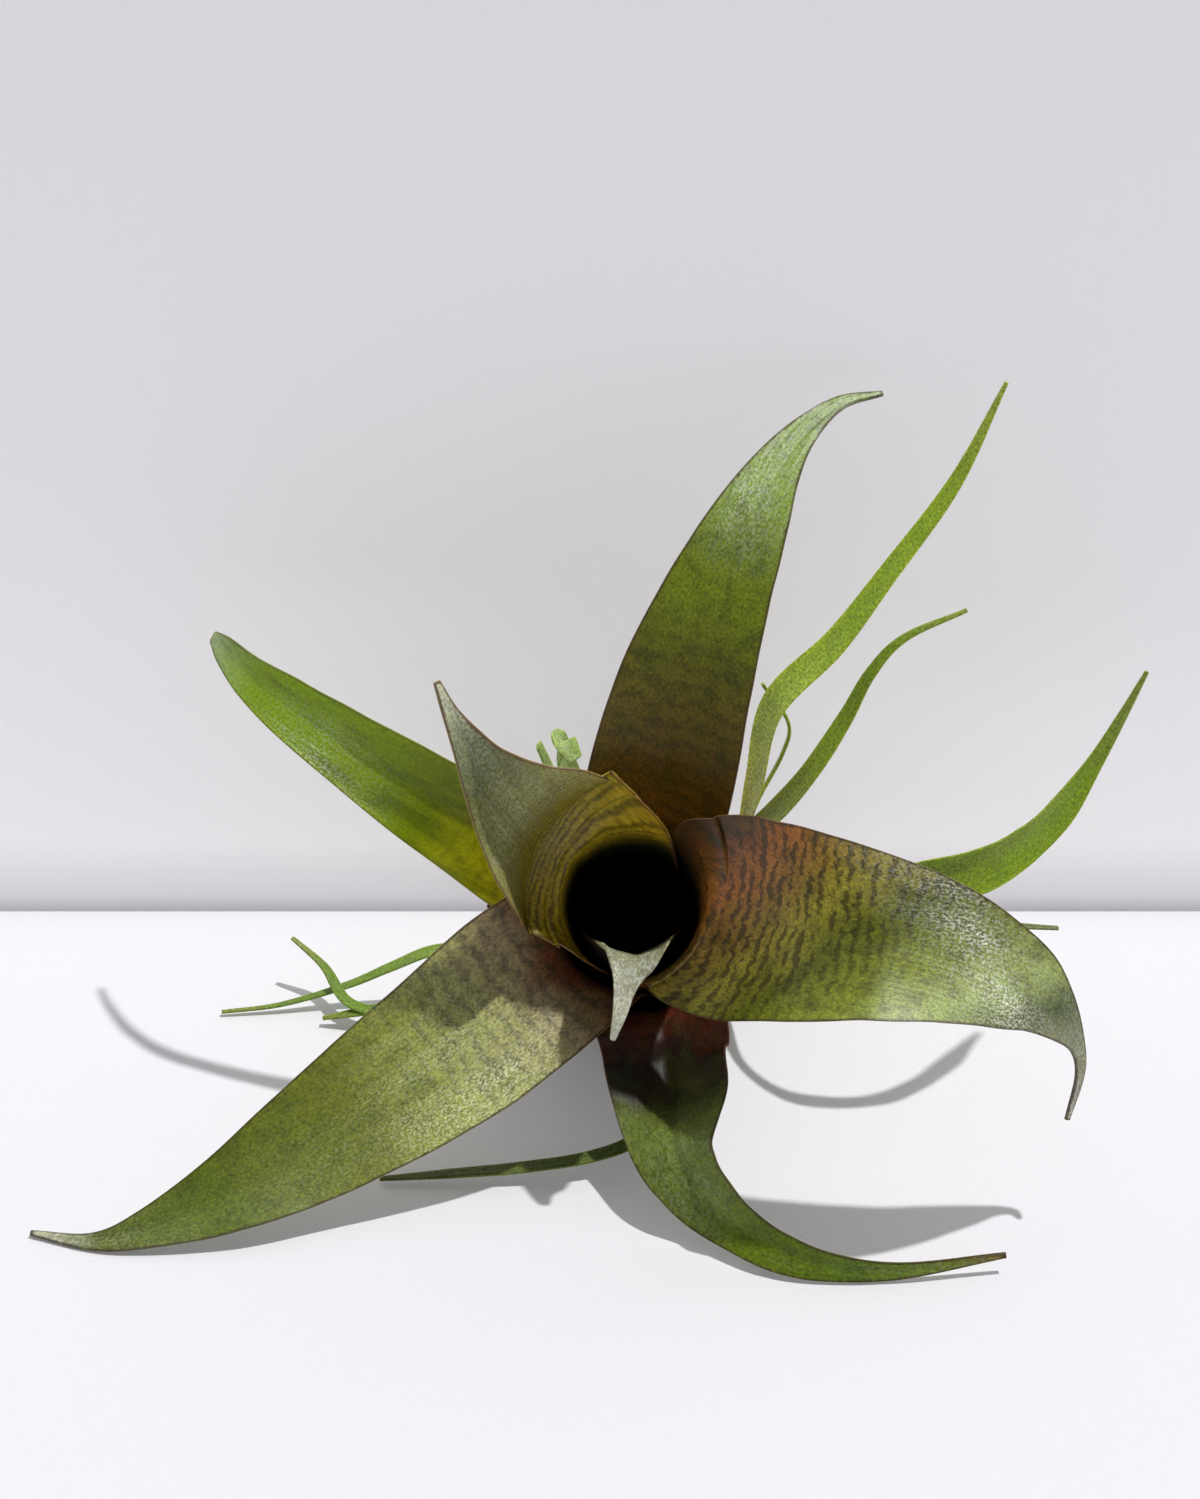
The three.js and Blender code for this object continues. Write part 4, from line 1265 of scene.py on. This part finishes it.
@dataclass
class Studio:
    """A pale table before a pale wall, a soft key light from above the right side, and the camera."""

    camera_place: Vector = field(default_factory=lambda: Vector((0.0007, -0.4326, 0.340)))
    camera_pitch: float = math.radians(57.0)
    lens: float = 92.46
    wall_distance: float = 0.0457
    reach: float = 3.0
    key_travel: Vector = field(default_factory=lambda: Vector((-0.335, -0.05, -1.0)))
    key_strength: float = 2.6
    key_spread: float = math.radians(1.6)
    sky_strength: float = 0.22
    tone_height: float = 0.25
    table_grain: float = 0.7
    # The table and the wall glow a little: painted light in place of the room's stray light.
    table_glow: float = 0.13
    wall_grain: float = 2.0
    wall_glow: float = 0.62
    table_tones: Sequence[Stop] = ((0.0, "#dad9dc"), (1.0, "#dad9dc"))
    # Painted shade and light on the wall: darkest at its foot where it meets the table, lightest just above,
    # dimmer higher up.
    wall_tones: Sequence[Stop] = (
        (0.0, "#a09ea2"), (0.012, "#c2c0c4"), (0.05, "#d8d6d9"), (0.3, "#d0ced1"), (1.0, "#c6c4c7"),
    )

    def surface(
        self, name: str, tones: Sequence[Stop], grain_mm: float, glow: float, one_sided: bool
    ) -> Material:
        """Makes painted board: a matt tone with a faint grain and a faint glow of painted light.

        Args:
            name: The material's name.
            tones: Its colour by height, from 0 at the table to 1 at `tone_height`.
            grain_mm: The grain's width in millimetres.
            glow: How strongly it glows, as painted light in place of the room's stray light.
            one_sided: Whether it is clear from behind.

        Returns:
            The material.
        """
        material, tree = new_material(name)
        place = add(tree, "ShaderNodeTexCoord")
        grain = add(
            tree, "ShaderNodeTexNoise", {"Vector": (place, 3), "Scale": 1.0 / (grain_mm * MM), "Detail": 3.0}
        )
        bump = add(tree, "ShaderNodeBump", {"Strength": 0.15, "Distance": 0.0004, "Height": grain})
        height = add(tree, "ShaderNodeSeparateXYZ", {0: (place, 3)})
        risen = add(tree, "ShaderNodeMath", {0: (height, 2), 1: self.tone_height}, operation="DIVIDE")
        tone = add(tree, "ShaderNodeValToRGB", {0: risen})
        paint_ramp(tone, tones)
        board = add(
            tree,
            "ShaderNodeBsdfPrincipled",
            {
                "Base Color": tone,
                "Roughness": 0.85,
                "Specular IOR Level": 0.2,
                "Normal": bump,
                "Emission Color": tone,
                "Emission Strength": glow,
            },
        )
        output = board
        if one_sided:
            facing = add(tree, "ShaderNodeNewGeometry")
            clear = add(tree, "ShaderNodeBsdfTransparent")
            output = add(tree, "ShaderNodeMixShader", {0: (facing, 6), 1: board, 2: clear})
        add(tree, "ShaderNodeOutputMaterial", {0: output})
        return material

    def board(self, name: str, material: Material) -> Piece:
        """Adds a square board that lies on the ground."""
        deselect()
        bpy.ops.mesh.primitive_plane_add(size=2.0 * self.reach)
        board = bpy.context.object
        board.name = name
        board.data.materials.append(material)
        return board

    def build(self) -> None:
        """Builds the table, the wall, the lights and the camera."""
        white = self.surface(
            "painted_board_white", self.table_tones, self.table_grain, self.table_glow, one_sided=False
        )
        grey = self.surface(
            "painted_board_grey", self.wall_tones, self.wall_grain, self.wall_glow, one_sided=True
        )
        table = self.board("studio_table", white)
        wall = self.board("studio_wall", grey)
        for vertex in wall.data.vertices:
            x, y, _ = vertex.co
            vertex.co = (x, self.wall_distance, y + self.reach)
        wall.visible_shadow = False
        self.lights()
        self.camera()

    def lights(self) -> None:
        """Adds the key light and an even sky."""
        deselect()
        bpy.ops.object.light_add(type="SUN")
        key = bpy.context.object
        key.name = "key_light"
        key.data.energy = self.key_strength
        key.data.angle = self.key_spread
        key.rotation_euler = self.key_travel.to_track_quat("-Z", "Y").to_euler()
        world = bpy.data.worlds.new("soft_sky")
        bpy.context.scene.world = world
        world.use_nodes = True
        world.node_tree.nodes.clear()
        sky = add(world.node_tree, "ShaderNodeBackground", {0: linear("#f4f5f8"), 1: self.sky_strength})
        add(world.node_tree, "ShaderNodeOutputWorld", {0: sky})

    def camera(self) -> None:
        """Adds the camera at the photograph's place and angle."""
        deselect()
        bpy.ops.object.camera_add(location=self.camera_place, rotation=(self.camera_pitch, 0.0, 0.0))
        camera = bpy.context.object
        camera.name = "photo_camera"
        camera.data.sensor_width = 36.0
        camera.data.lens = self.lens
        camera.data.clip_start = 0.01
        camera.data.clip_end = 20.0
        bpy.context.scene.camera = camera
        bpy.context.scene.view_settings.view_transform = "Standard"


def main() -> None:
    """Builds the studio and the plant."""
    logging.basicConfig(level=logging.INFO, format="%(name)s: %(message)s")
    Studio().build()
    for part in (*TANK_LEAVES, *PUPS, Crown()):
        piece = part.build()
        LOG.info("%s: %d faces", piece.name, len(piece.data.polygons))


if __name__ == "__main__":
    main()
